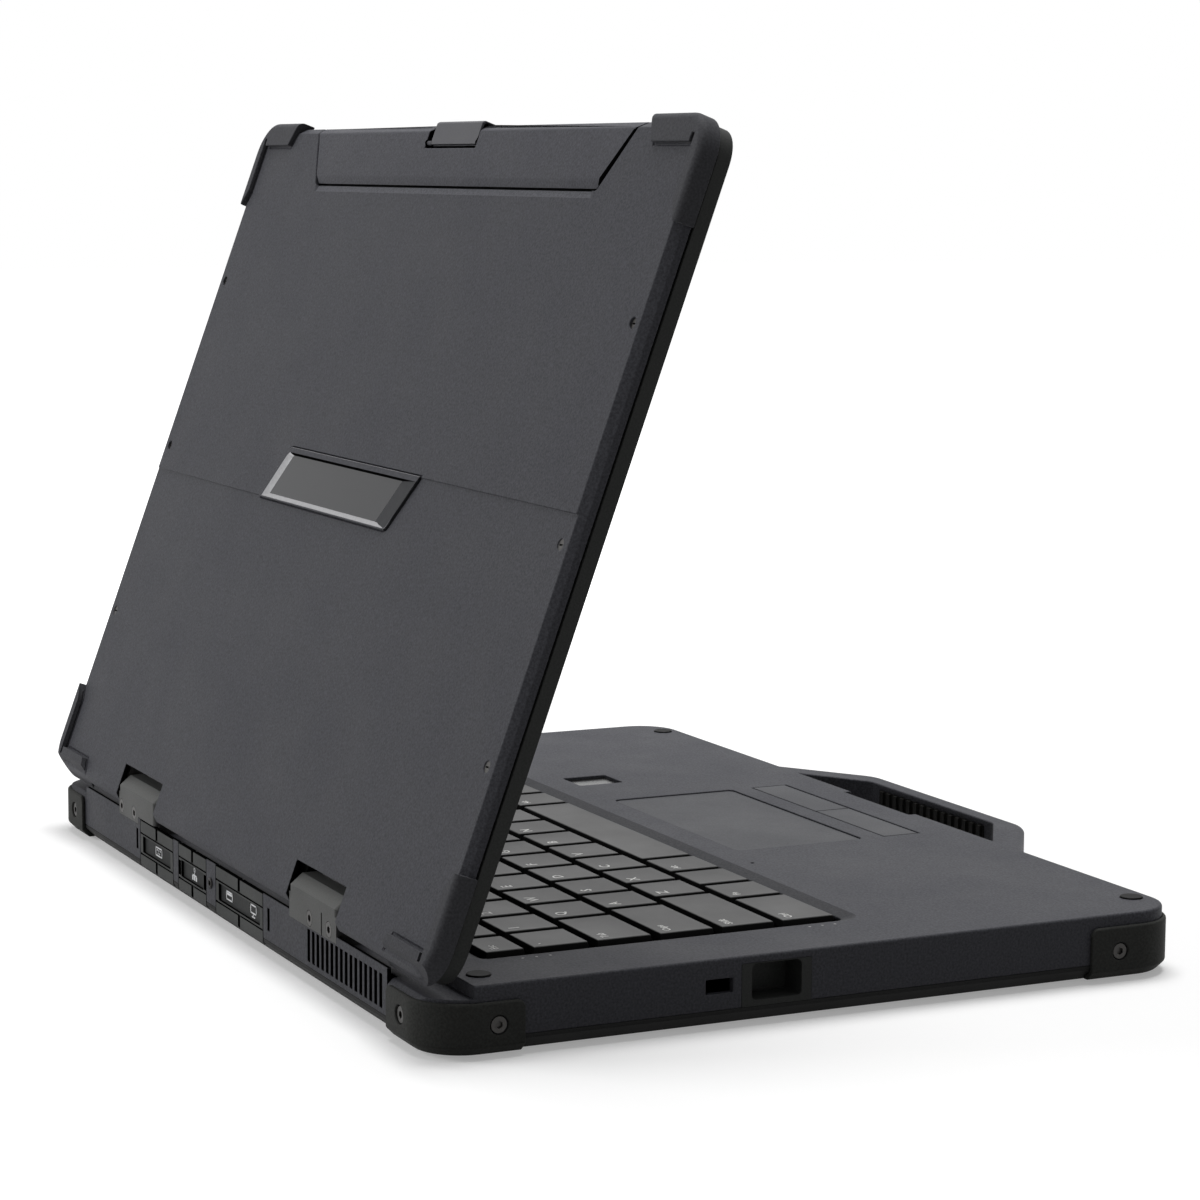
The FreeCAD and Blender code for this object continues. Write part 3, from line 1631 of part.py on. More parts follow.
def lid_pieces():
    return {
        "lid_back_cover": lid_back_cover(),
        "lid_bezel": lid_bezel(),
        "lid_top_panel": lid_top_panel(),
        "lid_latch": lid_latch(),
        "lid_bumpers_top": lid_bumpers_top(),
        "lid_bumpers_bottom": lid_bumpers_bottom(),
        "lid_screws": lid_screws(),
        "badge_frame": badge_frame(),
        "badge_window": badge_window(),
        "screen_glass": screen_glass(),
        "display_panel": display_panel(),
        "camera_module": camera_module(),
        "hinge_brackets": hinge_brackets(),
        "hinge_pins": hinge_pins(),
    }


def as_group(piece):
    """One solid by itself, or several in one group."""
    solids = piece if isinstance(piece, list) else [piece]
    solids = [s for shape in solids for s in shape.Solids]
    return solids[0] if len(solids) == 1 else Part.makeCompound(solids)


def assembly():
    """Every piece by name, with the lid open and the origin below the middle of the whole."""
    shapes = {name: as_group(piece) for name, piece in base_pieces().items()}
    for name, piece in lid_pieces().items():
        shapes[name] = turned_open(as_group(piece))
    whole = Part.makeCompound(list(shapes.values())).BoundBox
    centre = V(0, -(whole.YMin + whole.YMax) / 2, 0)
    for shape in shapes.values():
        shape.translate(centre)
    return shapes, centre


def main():
    os.makedirs("parts", exist_ok=True)
    shapes, centre = assembly()
    for name, shape in shapes.items():
        shape.exportStep(os.path.join("parts", name + ".step"))
    axis = V(0, axis_y, axis_z) + centre
    print(len(shapes), "pieces; lid axis at y %.3f, z %.3f; shift %.3f" % (axis.y, axis.z, centre.y))


main()
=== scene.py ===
import bpy
import bmesh
import json
import math
from mathutils import Matrix, Vector
from mathutils.bvhtree import BVHTree


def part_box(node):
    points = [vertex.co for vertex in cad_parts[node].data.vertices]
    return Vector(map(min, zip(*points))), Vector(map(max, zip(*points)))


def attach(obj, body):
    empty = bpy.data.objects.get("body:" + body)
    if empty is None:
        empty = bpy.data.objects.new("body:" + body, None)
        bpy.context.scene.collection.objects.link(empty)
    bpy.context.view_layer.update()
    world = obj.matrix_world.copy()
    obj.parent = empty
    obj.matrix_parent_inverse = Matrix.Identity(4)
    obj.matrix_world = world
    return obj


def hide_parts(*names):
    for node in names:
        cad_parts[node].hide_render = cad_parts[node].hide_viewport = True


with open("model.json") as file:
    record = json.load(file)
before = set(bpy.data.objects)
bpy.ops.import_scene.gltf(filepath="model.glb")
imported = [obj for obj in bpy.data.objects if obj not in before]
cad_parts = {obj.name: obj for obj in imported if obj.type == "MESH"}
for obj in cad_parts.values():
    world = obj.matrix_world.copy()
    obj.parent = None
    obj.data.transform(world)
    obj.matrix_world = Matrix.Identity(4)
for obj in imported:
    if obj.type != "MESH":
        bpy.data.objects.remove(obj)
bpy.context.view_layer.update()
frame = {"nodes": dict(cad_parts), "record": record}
nodes = frame["nodes"]
scene = bpy.context.scene

MM = 0.001


# Finishes

grain_detail = 3.0
noise_roughness = 0.55
noise_low, noise_high = 0.3, 0.7
tone_low, tone_high = 0.35, 0.65
cloud_scale = 38.0
cloud_detail = 4.0
cloud_share = 0.15
rough_vary = 0.1
relief_strength = 0.5


def new_material(name):
    material = bpy.data.materials.new(name)
    material.use_nodes = True
    tree = material.node_tree
    return material, tree, tree.nodes["Principled BSDF"]


def object_noise(tree, scale, detail=grain_detail):
    """Noise that is fixed to the piece, with its scale in cycles per metre."""
    place = tree.nodes.new("ShaderNodeTexCoord")
    noise = tree.nodes.new("ShaderNodeTexNoise")
    noise.inputs["Scale"].default_value = scale
    noise.inputs["Detail"].default_value = detail
    noise.inputs["Roughness"].default_value = noise_roughness
    tree.links.new(place.outputs["Object"], noise.inputs["Vector"])
    return noise.outputs["Fac"]


def two_tone(tree, value, dark, light):
    """A colour that runs from dark to light with the value."""
    ramp = tree.nodes.new("ShaderNodeValToRGB")
    ramp.color_ramp.elements[0].position = tone_low
    ramp.color_ramp.elements[0].color = (*dark, 1.0)
    ramp.color_ramp.elements[1].position = tone_high
    ramp.color_ramp.elements[1].color = (*light, 1.0)
    tree.links.new(value, ramp.inputs["Fac"])
    return ramp.outputs["Color"]


def spread(tree, value, low, high):
    """The value of a noise, mapped to another range."""
    mapped = tree.nodes.new("ShaderNodeMapRange")
    mapped.inputs["From Min"].default_value = noise_low
    mapped.inputs["From Max"].default_value = noise_high
    mapped.inputs["To Min"].default_value = low
    mapped.inputs["To Max"].default_value = high
    tree.links.new(value, mapped.inputs["Value"])
    return mapped.outputs["Result"]


def relief(tree, height, shader, depth):
    bump = tree.nodes.new("ShaderNodeBump")
    bump.inputs["Strength"].default_value = relief_strength
    bump.inputs["Distance"].default_value = depth
    tree.links.new(height, bump.inputs["Height"])
    tree.links.new(bump.outputs["Normal"], shader.inputs["Normal"])


def scaled(colour, factor):
    return tuple(channel * factor for channel in colour)


def grained(name, colour, vary, rough, grain, depth, metallic=0.0, specular=0.5):
    """A finish with fine grain: colour and roughness that vary a little, and a shallow relief."""
    material, tree, shader = new_material(name)
    fine = object_noise(tree, grain)
    broad = object_noise(tree, cloud_scale, cloud_detail)
    mix = tree.nodes.new("ShaderNodeMix")
    mix.inputs["Factor"].default_value = cloud_share
    tree.links.new(fine, mix.inputs["A"])
    tree.links.new(broad, mix.inputs["B"])
    colours = two_tone(tree, mix.outputs["Result"], scaled(colour, 1 - vary), scaled(colour, 1 + vary))
    tree.links.new(colours, shader.inputs["Base Color"])
    roughness = spread(tree, broad, rough * (1 - rough_vary), rough * (1 + rough_vary))
    tree.links.new(roughness, shader.inputs["Roughness"])
    relief(tree, fine, shader, depth)
    shader.inputs["Metallic"].default_value = metallic
    shader.inputs["Specular IOR Level"].default_value = specular
    return material


fine_paint = {"vary": 0.3, "rough": 0.55, "grain": 1500.0, "depth": 0.08 * MM, "specular": 0.08}
case_paint = grained("fine_grain_case_paint", (0.0555, 0.0562, 0.0642), **fine_paint)
panel_paint = grained("antenna_panel_paint", (0.0635, 0.064, 0.0735), **fine_paint)
# A lighter copy of the lid paint: painted highlight on the lip under the antenna panel.
lip_painted_highlight = grained("antenna_lip_painted_highlight", (0.078, 0.0788, 0.0895), **fine_paint)
# A darker copy of the case paint: painted shade on the slopes of the keyboard's well.
well_slope_painted_shade = grained("key_well_painted_shade", (0.043, 0.0435, 0.0478),
                     vary=0.3, rough=0.55, grain=1500.0, depth=0.06 * MM, specular=0.06)
cover_paint = grained("belly_cover_paint", (0.02, 0.02, 0.02),
                      vary=0.18, rough=0.6, grain=2200.0, depth=0.06 * MM, specular=0.08)
hinge_paint = grained("hinge_housing_paint", (0.07, 0.071, 0.069),
                      vary=0.14, rough=0.5, grain=2600.0, depth=0.05 * MM, specular=0.15)
latch_paint = grained("latch_paint", (0.066, 0.066, 0.074),
                      vary=0.12, rough=0.45, grain=2600.0, depth=0.04 * MM, specular=0.2)
dark_plastic = grained("black_moulding", (0.024, 0.025, 0.024),
                       vary=0.2, rough=0.55, grain=1800.0, depth=0.05 * MM, specular=0.12)
flap_plastic = grained("port_cover_moulding", (0.046, 0.048, 0.047),
                       vary=0.16, rough=0.55, grain=1800.0, depth=0.05 * MM, specular=0.1)
# A darker copy of the port cover moulding: painted shade on the covers' sunk faces.
field_painted_shade = grained("sunk_field_painted_shade", (0.027, 0.028, 0.028),
                        vary=0.16, rough=0.55, grain=1800.0, depth=0.05 * MM, specular=0.06)
trim_plastic = grained("grey_moulding", (0.06, 0.061, 0.067),
                       vary=0.2, rough=0.5, grain=1800.0, depth=0.04 * MM, specular=0.1)
window_black = grained("smoked_window", (0.018, 0.0186, 0.022),
                       vary=0.06, rough=0.12, grain=500.0, depth=0.003 * MM, specular=0.2)
bevel_dark = grained("shaded_bevel", (0.036, 0.037, 0.04),
                     vary=0.1, rough=0.5, grain=900.0, depth=0.01 * MM, specular=0.05)
# A bright half-metal grey: painted highlight on the badge frame's bevels.
bevel_painted_highlight = grained("painted_highlight_bevel", (0.32, 0.32, 0.33),
                       vary=0.1, rough=0.3, grain=900.0, depth=0.01 * MM, metallic=0.5)
gloss_black = grained("polished_black", (0.008, 0.008, 0.008),
                      vary=0.1, rough=0.2, grain=600.0, depth=0.004 * MM, specular=0.4)
matt_rubber = {"vary": 0.2, "rough": 0.6, "grain": 1500.0, "depth": 0.08 * MM, "specular": 0.05}
rubber = grained("bumper_rubber", (0.038, 0.0388, 0.0365), **matt_rubber)
lid_rubber = grained("lid_bumper_rubber", (0.063, 0.0635, 0.0695), **matt_rubber)
pad_rubber = grained("deck_pad_rubber", (0.004, 0.004, 0.004),
                     vary=0.2, rough=0.5, grain=1500.0, depth=0.04 * MM, specular=0.04)
grip_rubber = grained("grip_rubber", (0.012, 0.012, 0.011),
                      vary=0.2, rough=0.6, grain=1500.0, depth=0.08 * MM, specular=0.08)
key_plastic = grained("key_moulding", (0.022, 0.022, 0.022),
                      vary=0.14, rough=0.4, grain=2600.0, depth=0.03 * MM, specular=0.22)
key_side = grained("shaded_key_side", (0.005, 0.005, 0.005),
                   vary=0.2, rough=0.6, grain=2000.0, depth=0.02 * MM, specular=0.04)
steel = grained("dark_screw_steel", (0.032, 0.03, 0.028),
                vary=0.2, rough=0.42, grain=1400.0, depth=0.02 * MM, metallic=0.4)
socket_shell = grained("plated_socket_shell", (0.55, 0.55, 0.54),
                       vary=0.1, rough=0.3, grain=1200.0, depth=0.01 * MM, metallic=1.0)
socket_plastic = grained("socket_moulding", (0.018, 0.018, 0.018),
                         vary=0.15, rough=0.5, grain=1500.0, depth=0.03 * MM)
screen_glass = grained("anti_glare_glass", (0.012, 0.012, 0.013),
                       vary=0.1, rough=0.2, grain=900.0, depth=0.004 * MM)
board_green = grained("solder_mask", (0.02, 0.09, 0.05),
                      vary=0.2, rough=0.4, grain=500.0, depth=0.04 * MM)
battery_wrap = grained("battery_wrap", (0.02, 0.02, 0.02),
                       vary=0.15, rough=0.35, grain=300.0, depth=0.04 * MM)
copper = grained("bare_copper", (0.6, 0.3, 0.16),
                 vary=0.12, rough=0.35, grain=900.0, depth=0.02 * MM, metallic=1.0)
legend_ink = grained("pale_legend_ink", (0.62, 0.62, 0.6),
                     vary=0.06, rough=0.5, grain=3000.0, depth=0.004 * MM)
lamp_lens = grained("unlit_lamp_lens", (0.24, 0.24, 0.235),
                    vary=0.06, rough=0.4, grain=3000.0, depth=0.004 * MM)
white_ink = grained("white_mark_ink", (0.85, 0.86, 0.88),
                    vary=0.05, rough=0.5, grain=3000.0, depth=0.004 * MM)
# Near-black painted shade, for the insides of notches, gaps, grooves, recesses and holes.
painted_shade = grained("painted_shade_black", (0.004, 0.004, 0.004),
                     vary=0.2, rough=0.8, grain=2000.0, depth=0.02 * MM, specular=0.0)

finish_of = {
    "case_paint": case_paint,
    "cover_paint": cover_paint,
    "hinge_paint": hinge_paint,
    "dark_plastic": dark_plastic,
    "trim_plastic": trim_plastic,
    "gloss_black": gloss_black,
    "rubber": rubber,
    "key_plastic": key_plastic,
    "steel": steel,
    "socket_shell": socket_shell,
    "socket_plastic": socket_plastic,
    "screen_glass": screen_glass,
    "board": board_green,
    "battery": battery_wrap,
    "copper": copper,
}
own_finish = {
    "lid_latch": latch_paint,
    "lid_top_panel": panel_paint,
    "lid_bumpers_top": lid_rubber,
    "lid_bumpers_bottom": lid_rubber,
    "keyboard_tray": key_side,
    "serial_cover": flap_plastic,
    "network_cover": flap_plastic,
    "usb_video_cover": flap_plastic,
    "badge_window": window_black,
    "badge_frame": case_paint,
    "deck_pads": pad_rubber,
    "handle_grip": grip_rubber,
}
slot_of = {entry["node"]: entry["material_slot"] for entry in frame["record"]["subparts"]}
body_of = {node: body for body, members in frame["record"]["behaviour"]["bodies"].items() for node in members}


def finish_for(node):
    return own_finish.get(node, finish_of[slot_of[node]])


def paint_nodes():
    """Every solid takes its own finish, or else the finish of its slot."""
    for node in slot_of:
        nodes[node].data.materials.clear()
        nodes[node].data.materials.append(finish_for(node))


# Copies of the solids with soft edges, with angles in degrees

merge_gap = 0.002 * MM
merge_angle = 0.4
round_angle = 32.0
smooth_angle = 50.0
crease_angle = 8.0
flat_area = 50.0 * MM * MM
straight = 0.99
edge_segments = 2
top_slack = 0.01 * MM


def merged_copy(node):
    """A solid's own faces as one closed mesh, with flat triangles joined."""
    build = bmesh.new()
    build.from_mesh(nodes[node].data)
    bmesh.ops.remove_doubles(build, verts=build.verts, dist=merge_gap)
    bmesh.ops.dissolve_limit(build, angle_limit=math.radians(merge_angle), verts=build.verts,
                             edges=build.edges)
    return build


def island_boxes(node):
    """The lowest and highest corner of each separate solid of a node, from left to right."""
    build = merged_copy(node)
    left = set(build.verts)
    boxes = []
    while left:
        island = set()
        reached = [left.pop()]
        while reached:
            vert = reached.pop()
            island.add(vert.co.copy().freeze())
            for edge in vert.link_edges:
                other = edge.other_vert(vert)
                if other in left:
                    left.remove(other)
                    reached.append(other)
        low = Vector([min(co[i] for co in island) for i in range(3)])
        high = Vector([max(co[i] for co in island) for i in range(3)])
        boxes.append((low, high))
    build.free()
    return sorted(boxes, key=lambda corners: corners[0].x)


def shade(build, round_faces):
    """Smooth shading over round edges; edges between a flat and a slope stay crisp."""
    for face in build.faces:
        face.smooth = True
    for edge in build.edges:
        if len(edge.link_faces) < 2:
            edge.smooth = False
            continue
        angle = math.degrees(edge.calc_face_angle(0.0))
        sides = [face for face in edge.link_faces if face not in round_faces]
        flat = len(sides) == 2 and max(face.calc_area() for face in sides) > flat_area
        edge.smooth = angle < (crease_angle if flat else smooth_angle)


def new_piece(name, build, body, finish):
    """Turns a finished mesh into a piece that rides on a body."""
    mesh = bpy.data.meshes.new(name)
    build.to_mesh(mesh)
    build.free()
    mesh.materials.append(finish)
    piece = bpy.data.objects.new(name, mesh)
    scene.collection.objects.link(piece)
    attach(piece, body)
    return piece


def refinish(piece, finish, inside):
    """Gives another finish, painted light or shade, to the faces whose middle and normal pass a test."""
    piece.data.materials.append(finish)
    last = len(piece.data.materials) - 1
    for face in piece.data.polygons:
        if inside(face.center, face.normal):
            face.material_index = last


def dish_tops(build, margin, depth):
    """Sinks the middle of every flat top a little, as in a key that centres the finger."""
    top = max(vert.co.z for vert in build.verts)
    tops = [face for face in build.faces
            if face.normal.z > straight and face.calc_center_median().z > top - top_slack]
    bmesh.ops.inset_individual(build, faces=tops, thickness=margin, depth=-depth, use_even_offset=True)


def soften(node, width, dish=None, reshape=None):
    """Stands a copy with rounded edges in place of a solid; a dish is a margin and a depth."""
    build = merged_copy(node)
    if reshape:
        reshape(build)
    sharp = [edge for edge in build.edges
             if len(edge.link_faces) == 2 and edge.calc_face_angle() > math.radians(round_angle)]
    round_faces = set()
    if width:
        rounded = bmesh.ops.bevel(build, geom=sharp, offset=width, offset_type="OFFSET",
                                  segments=edge_segments, profile=0.5, affect="EDGES",
                                  clamp_overlap=False, material=-1)
        round_faces.update(rounded["faces"])
    if dish:
        dish_tops(build, *dish)
    shade(build, round_faces)
    piece = new_piece("soft_" + node, build, body_of[node], finish_for(node))
    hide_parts(node)
    piece.modifiers.new("even_shading", "WEIGHTED_NORMAL").keep_sharp = True
    return piece


# Faces with painted light and shade as another finish, where a limit on a normal is its share along a
# direction

window_face = max(nodes["badge_window"].data.polygons, key=lambda face: face.area)
lid_back = window_face.normal.copy() if window_face.normal.y > 0 else -window_face.normal
lid_up = Vector((0, -lid_back.z, lid_back.y))
antenna_face = max(corner.co.dot(lid_back) for corner in nodes["lid_top_panel"].data.vertices)
antenna_foot = min(corner.co.dot(lid_up) for corner in nodes["lid_top_panel"].data.vertices)

housing_boxes = [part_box("hinge_housing_left"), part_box("hinge_housing_right")]
notch_depth = 3.0 * MM
notch_wall = 0.6


def in_housing_notch(middle, normal):
    """True for the hidden walls of the lid's two notches, which take painted shade."""
    inside = [low.x - notch_depth < middle.x < high.x + notch_depth and middle.z < high.z + 2 * notch_depth
              for low, high in housing_boxes]
    return any(inside) and normal.dot(lid_back) < notch_wall


well_low, well_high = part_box("keyboard_tray")
well_margin = 8.0 * MM
well_steep, well_flat = 0.2, 0.985
deck_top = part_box("top_case")[1].z


def on_well_slope(middle, normal):
    """True for the sloping sides of the keyboard's well, which take painted shade."""
    across = well_low.x - well_margin < middle.x < well_high.x + well_margin
    along = well_low.y - well_margin < middle.y < well_high.y + well_margin
    return across and along and well_steep < normal.z < well_flat and middle.z < deck_top


panel_low, panel_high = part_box("rear_panel")
panel_rim = 0.4 * MM
recess_wall, recess_floor = 0.5, 0.8


def in_panel_recess(middle, normal):
    """True for the walls of the rear panel's openings and for its sunk faces, which take painted shade."""
    sunk = middle.y < panel_high.y - panel_rim
    walls = normal.y < recess_wall and panel_low.z + panel_rim < middle.z < panel_high.z - panel_rim
    return walls or (sunk and max(normal.y, normal.z) > recess_floor)


groove_wall, field_front = 0.6, 0.9


def on_cover_side(middle, normal):
    """True for the walls of a port cover's grooves, which take painted shade."""
    return normal.y < groove_wall


def in_cover_field(middle, normal):
    """True for a port cover's sunk faces, which take painted shade."""
    return normal.y > field_front and middle.y < panel_high.y - panel_rim


key_top = 0.35


def off_key_top(middle, normal):
    """True for the sides and the underside of a key."""
    return normal.z < key_top


bay_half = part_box("lid_latch")[1].x
bay_depth = 0.8 * MM
antenna_front, antenna_top = 0.8, 0.5


def beside_antenna_panel(middle, normal):
    """True for the antenna panel's edges and for the latch's bay in it, which take painted shade."""
    edge = normal.dot(lid_back) < antenna_front and normal.dot(lid_up) < antenna_top
    in_bay = abs(middle.x) < bay_half and antenna_face - middle.dot(lid_back) > bay_depth
    return edge or (in_bay and max(abs(normal.x), normal.dot(lid_back)) > antenna_front)


lip_run = 2.1 * MM
lip_depth = 0.9 * MM
lip_end = 1.0 * MM
lip_least, lip_most, lip_front = 0.2, 0.6, 0.7


def on_lip(middle, normal):
    """True for the lid's slope under the antenna panel, which takes a painted highlight."""
    sloped = lip_least < normal.dot(lid_up) < lip_most and normal.dot(lid_back) > lip_front
    shallow = antenna_face - middle.dot(lid_back) < lip_depth
    return sloped and shallow and abs(middle.dot(lid_up) - antenna_foot) < lip_run


# Painted shade on the port covers' sunk faces and on the walls of their grooves.
cover_finishes = [(field_painted_shade, in_cover_field), (painted_shade, on_cover_side)]
face_finishes = {
    "lid_top_panel": [(painted_shade, beside_antenna_panel)],
    "lid_back_cover": [(painted_shade, in_housing_notch), (lip_painted_highlight, on_lip)],
    "lid_bezel": [(painted_shade, in_housing_notch)],
    "top_case": [(well_slope_painted_shade, on_well_slope)],
    "rear_panel": [(painted_shade, in_panel_recess)],
    "serial_cover": cover_finishes,
    "network_cover": cover_finishes,
    "usb_video_cover": cover_finishes,
}


# Changes to the shape of a copy

skin = 0.05 * MM
hair = skin / 10
cut_slack = 1e-7


def on_lid_skin(point):
    """True for a point on the lid's outer face."""
    return antenna_face - point.dot(lid_back) < skin


def cut_lid_skin(build, point, normal, level):
    """Cuts the lid's outer faces above a level by a plane, without moving anything."""
    faces = [face for face in build.faces if face.normal.dot(lid_back) > straight
             and all(on_lid_skin(vert.co) for vert in face.verts)
             and min(vert.co.dot(lid_up) for vert in face.verts) > level - skin]
    edges = {edge for face in faces for edge in face.edges}
    verts = {vert for face in faces for vert in face.verts}
    bmesh.ops.bisect_plane(build, geom=faces + list(edges) + list(verts), dist=cut_slack, plane_co=point,
                           plane_no=normal)


antenna_round = 3.0 * MM
antenna_slant = 18.0 * MM
antenna_foot_gap = 0.3 * MM
antenna_end_gap = 0.8 * MM
fold_run = 2.7 * MM
fold_depth = 0.6 * MM


def trim_antenna_panel(build):
    """Leaves a wider gap at the antenna panel's foot and slanted ends, and slopes its foot into the gap."""
    foot = min(vert.co.dot(lid_up) for vert in build.verts)
    low = min(vert.co.x for vert in build.verts)
    high = max(vert.co.x for vert in build.verts)
    for vert in build.verts:
        if vert.co.dot(lid_up) < foot + antenna_round:
            vert.co += lid_up * antenna_foot_gap
        if min(vert.co.x - low, high - vert.co.x) < antenna_slant:
            vert.co.x += math.copysign(antenna_end_gap, (low + high) / 2 - vert.co.x)
    fold = foot + antenna_foot_gap + fold_run
    cut_lid_skin(build, lid_up * fold, lid_up, foot)
    for vert in build.verts:
        below = fold - vert.co.dot(lid_up)
        if below > 0 and on_lid_skin(vert.co):
            sink = below / fold_run * fold_depth
            vert.co -= lid_back * sink
            if min(vert.co.x - low, high - vert.co.x) < antenna_slant:
                vert.co.x -= math.copysign(sink, (low + high) / 2 - vert.co.x)


def slope_lip(build):
    """Slopes the lid's lip under the antenna panel towards the gap."""
    low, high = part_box("lid_top_panel")
    rim = [vert for vert in build.verts if on_lid_skin(vert.co) and low.x < vert.co.x < high.x
           and antenna_foot - lip_end < vert.co.dot(lid_up)]
    lip = min(vert.co.dot(lid_up) for vert in rim)
    ends = [vert.co.x for vert in rim if vert.co.dot(lid_up) < lip + hair]
    start, stop = min(ends), max(ends)
    cut_lid_skin(build, lid_up * (lip - lip_run), lid_up, 0.0)
    for x in (start, start + lip_end, stop - lip_end, stop):
        cut_lid_skin(build, Vector((x, 0, 0)), Vector((1, 0, 0)), lip - lip_run)
    for vert in build.verts:
        on_edge = abs(vert.co.dot(lid_up) - lip) < hair and on_lid_skin(vert.co)
        if on_edge and start + skin < vert.co.x < stop - skin:
            vert.co -= lid_back * lip_depth


heel_run = 8.0 * MM
heel_r = 1.4 * MM
heel_segments = 4
heel_rear = 0.2


def round_heel(build):
    """Rounds the long edges of the lower lid bumpers' heels."""
    long_edges = []
    for edge in build.edges:
        run = edge.verts[0].co - edge.verts[1].co
        level = abs(run.x) > heel_run and abs(run.x) > straight * run.length
        outside = all(face.normal.y > heel_rear for face in edge.link_faces)
        if level and outside and edge.calc_face_angle(0.0) > math.radians(round_angle):
            long_edges.append(edge)
    bmesh.ops.bevel(build, geom=long_edges, offset=heel_r, offset_type="OFFSET", segments=heel_segments,
                    profile=0.5, affect="EDGES", clamp_overlap=True, material=-1)


latch_edge = 0.2 * MM
latch_pin = 2.0 * MM
latch_gap = 3.2 * MM
latch_sink = 0.3 * MM
latch_foot_gap = 0.6 * MM
hook_slope = 1.1 * MM
hook_thin = 0.8 * MM
slope_thin = 0.7 * hook_thin


def thin_latch(build):
    """Sinks the latch's plate to the level of the lid, frees its end and foot and thins its hook."""
    top = max(vert.co.dot(lid_back) for vert in build.verts)
    tip = max(vert.co.dot(lid_up) for vert in build.verts)
    end = max(vert.co.x for vert in build.verts) - latch_pin
    foot = min(vert.co.dot(lid_up) for vert in build.verts if vert.co.dot(lid_back) > top - skin)
    for vert in build.verts:
        high = vert.co.dot(lid_back) > top - skin
        outer = vert.co.dot(lid_up) > tip - skin
        slope = high and vert.co.dot(lid_up) > tip - hook_slope
        if abs(vert.co.dot(lid_up) - foot) < skin:
            vert.co += lid_up * latch_foot_gap
        if abs(vert.co.x - end) < skin:
            vert.co.x -= latch_gap
        if high:
            vert.co -= lid_back * latch_sink
        if outer or slope:
            vert.co -= lid_up * (hook_thin if outer else slope_thin)


key_row_nodes = [node for node in nodes if node.startswith("keys_")]
key_edge = 0.25 * MM
key_rim = 2.2 * MM
key_dish = 0.2 * MM
cap_grow = 0.25 * MM
cap_depth = 1.5 * MM


def nearest_key(boxes, point):
    """The key whose middle is nearest to a point, measured by the key's own size."""
    def distance(corners):
        low, high = corners
        return ((low + high) / 2 - point).xy.length_squared / (high - low).xy.length_squared

    return min(boxes, key=distance)


def widen_caps(node):
    """Gives the keys of a row their full width, a little wider than their solids."""
    boxes = island_boxes(node)

    def reshape(build):
        for vert in build.verts:
            if vert.co.z < well_high.z - cap_depth:
                continue
            low, high = nearest_key(boxes, vert.co)
            middle = (low + high) / 2
            vert.co.x += math.copysign(cap_grow, vert.co.x - middle.x)
            vert.co.y += math.copysign(cap_grow, vert.co.y - middle.y)

    return reshape


edge_radius = {
    "top_case": 0.3 * MM,
    "carry_handle": 0.5 * MM,
    "base_bumpers_front": 0.4 * MM,
    "base_bumpers_rear": 0.4 * MM,
    "lid_bumpers_top": 0.3 * MM,
    "lid_bumpers_bottom": 0.0,
    "lid_back_cover": 0.3 * MM,
    "lid_top_panel": 0.5 * MM,
    "lid_bezel": 0.3 * MM,
    "rear_panel": 0.2 * MM,
    "serial_cover": 0.15 * MM,
    "network_cover": 0.15 * MM,
    "usb_video_cover": 0.15 * MM,
    "bottom_cover": 0.3 * MM,
    "touchpad_button_left": 0.3 * MM,
    "touchpad_button_right": 0.3 * MM,
}
reshape_of = {
    "lid_top_panel": trim_antenna_panel,
    "lid_bumpers_bottom": round_heel,
    "lid_back_cover": slope_lip,
}


def soften_edges():
    for node, radius in edge_radius.items():
        piece = soften(node, radius, reshape=reshape_of.get(node))
        for finish, test in face_finishes.get(node, []):
            refinish(piece, finish, test)
    soften("lid_latch", latch_edge, reshape=thin_latch)
    for node in key_row_nodes + ["space_bar"]:
        piece = soften(node, key_edge, dish=(key_rim, key_dish), reshape=widen_caps(node))
        refinish(piece, key_side, off_key_top)


# Badge

badge_edge = 0.08 * MM
badge_line = 0.5 * MM
badge_lean = 0.85
badge_trim = 1.0 * MM
badge_rim = 0.3 * MM
badge_corner = 1.5 * MM
badge_far_share = 0.7
bright_front, bright_up, bright_far = 0.3, 0.2, -0.08
dark_front, dark_near, dark_side = 0.95, 0.04, 0.6
under_down, under_front = -0.5, 0.1


def trim_badge(build):
    """Widens the painted-shade bevel at the badge frame's top and narrows the painted-highlight one at its
    far end.
    """
    level = max(vert.co.dot(lid_back) for vert in build.verts)
    top = max(corner.co.dot(lid_up) for corner in nodes["badge_window"].data.vertices)
    far = max(vert.co.x for vert in build.verts)
    for vert in build.verts:
        along = vert.co.dot(lid_up) - top
        if level - vert.co.dot(lid_back) > skin or along > badge_rim:
            continue
        if far * badge_far_share < vert.co.x < far - skin:
            vert.co.x -= badge_trim
        if along > -badge_corner:
            vert.co += lid_up * badge_line
            vert.co.x -= badge_line * badge_lean


def on_bright_bevel(middle, normal):
    """True for the bevels at the badge's foot and far end, which take a painted highlight."""
    turned = normal.dot(lid_up) > bright_up or normal.x < bright_far
    return normal.dot(lid_back) > bright_front and turned


def on_dark_bevel(middle, normal):
    """True for the badge's other bevels and its sides, which take painted shade."""
    turned = normal.dot(lid_back) < dark_front or dark_near < normal.x < dark_side
    return turned and not on_bright_bevel(middle, normal)


def under_badge_top(middle, normal):
    """True for the bevel that looks down at the badge's top, which takes a painted shadow."""
    return normal.dot(lid_up) < under_down and normal.dot(lid_back) > under_front


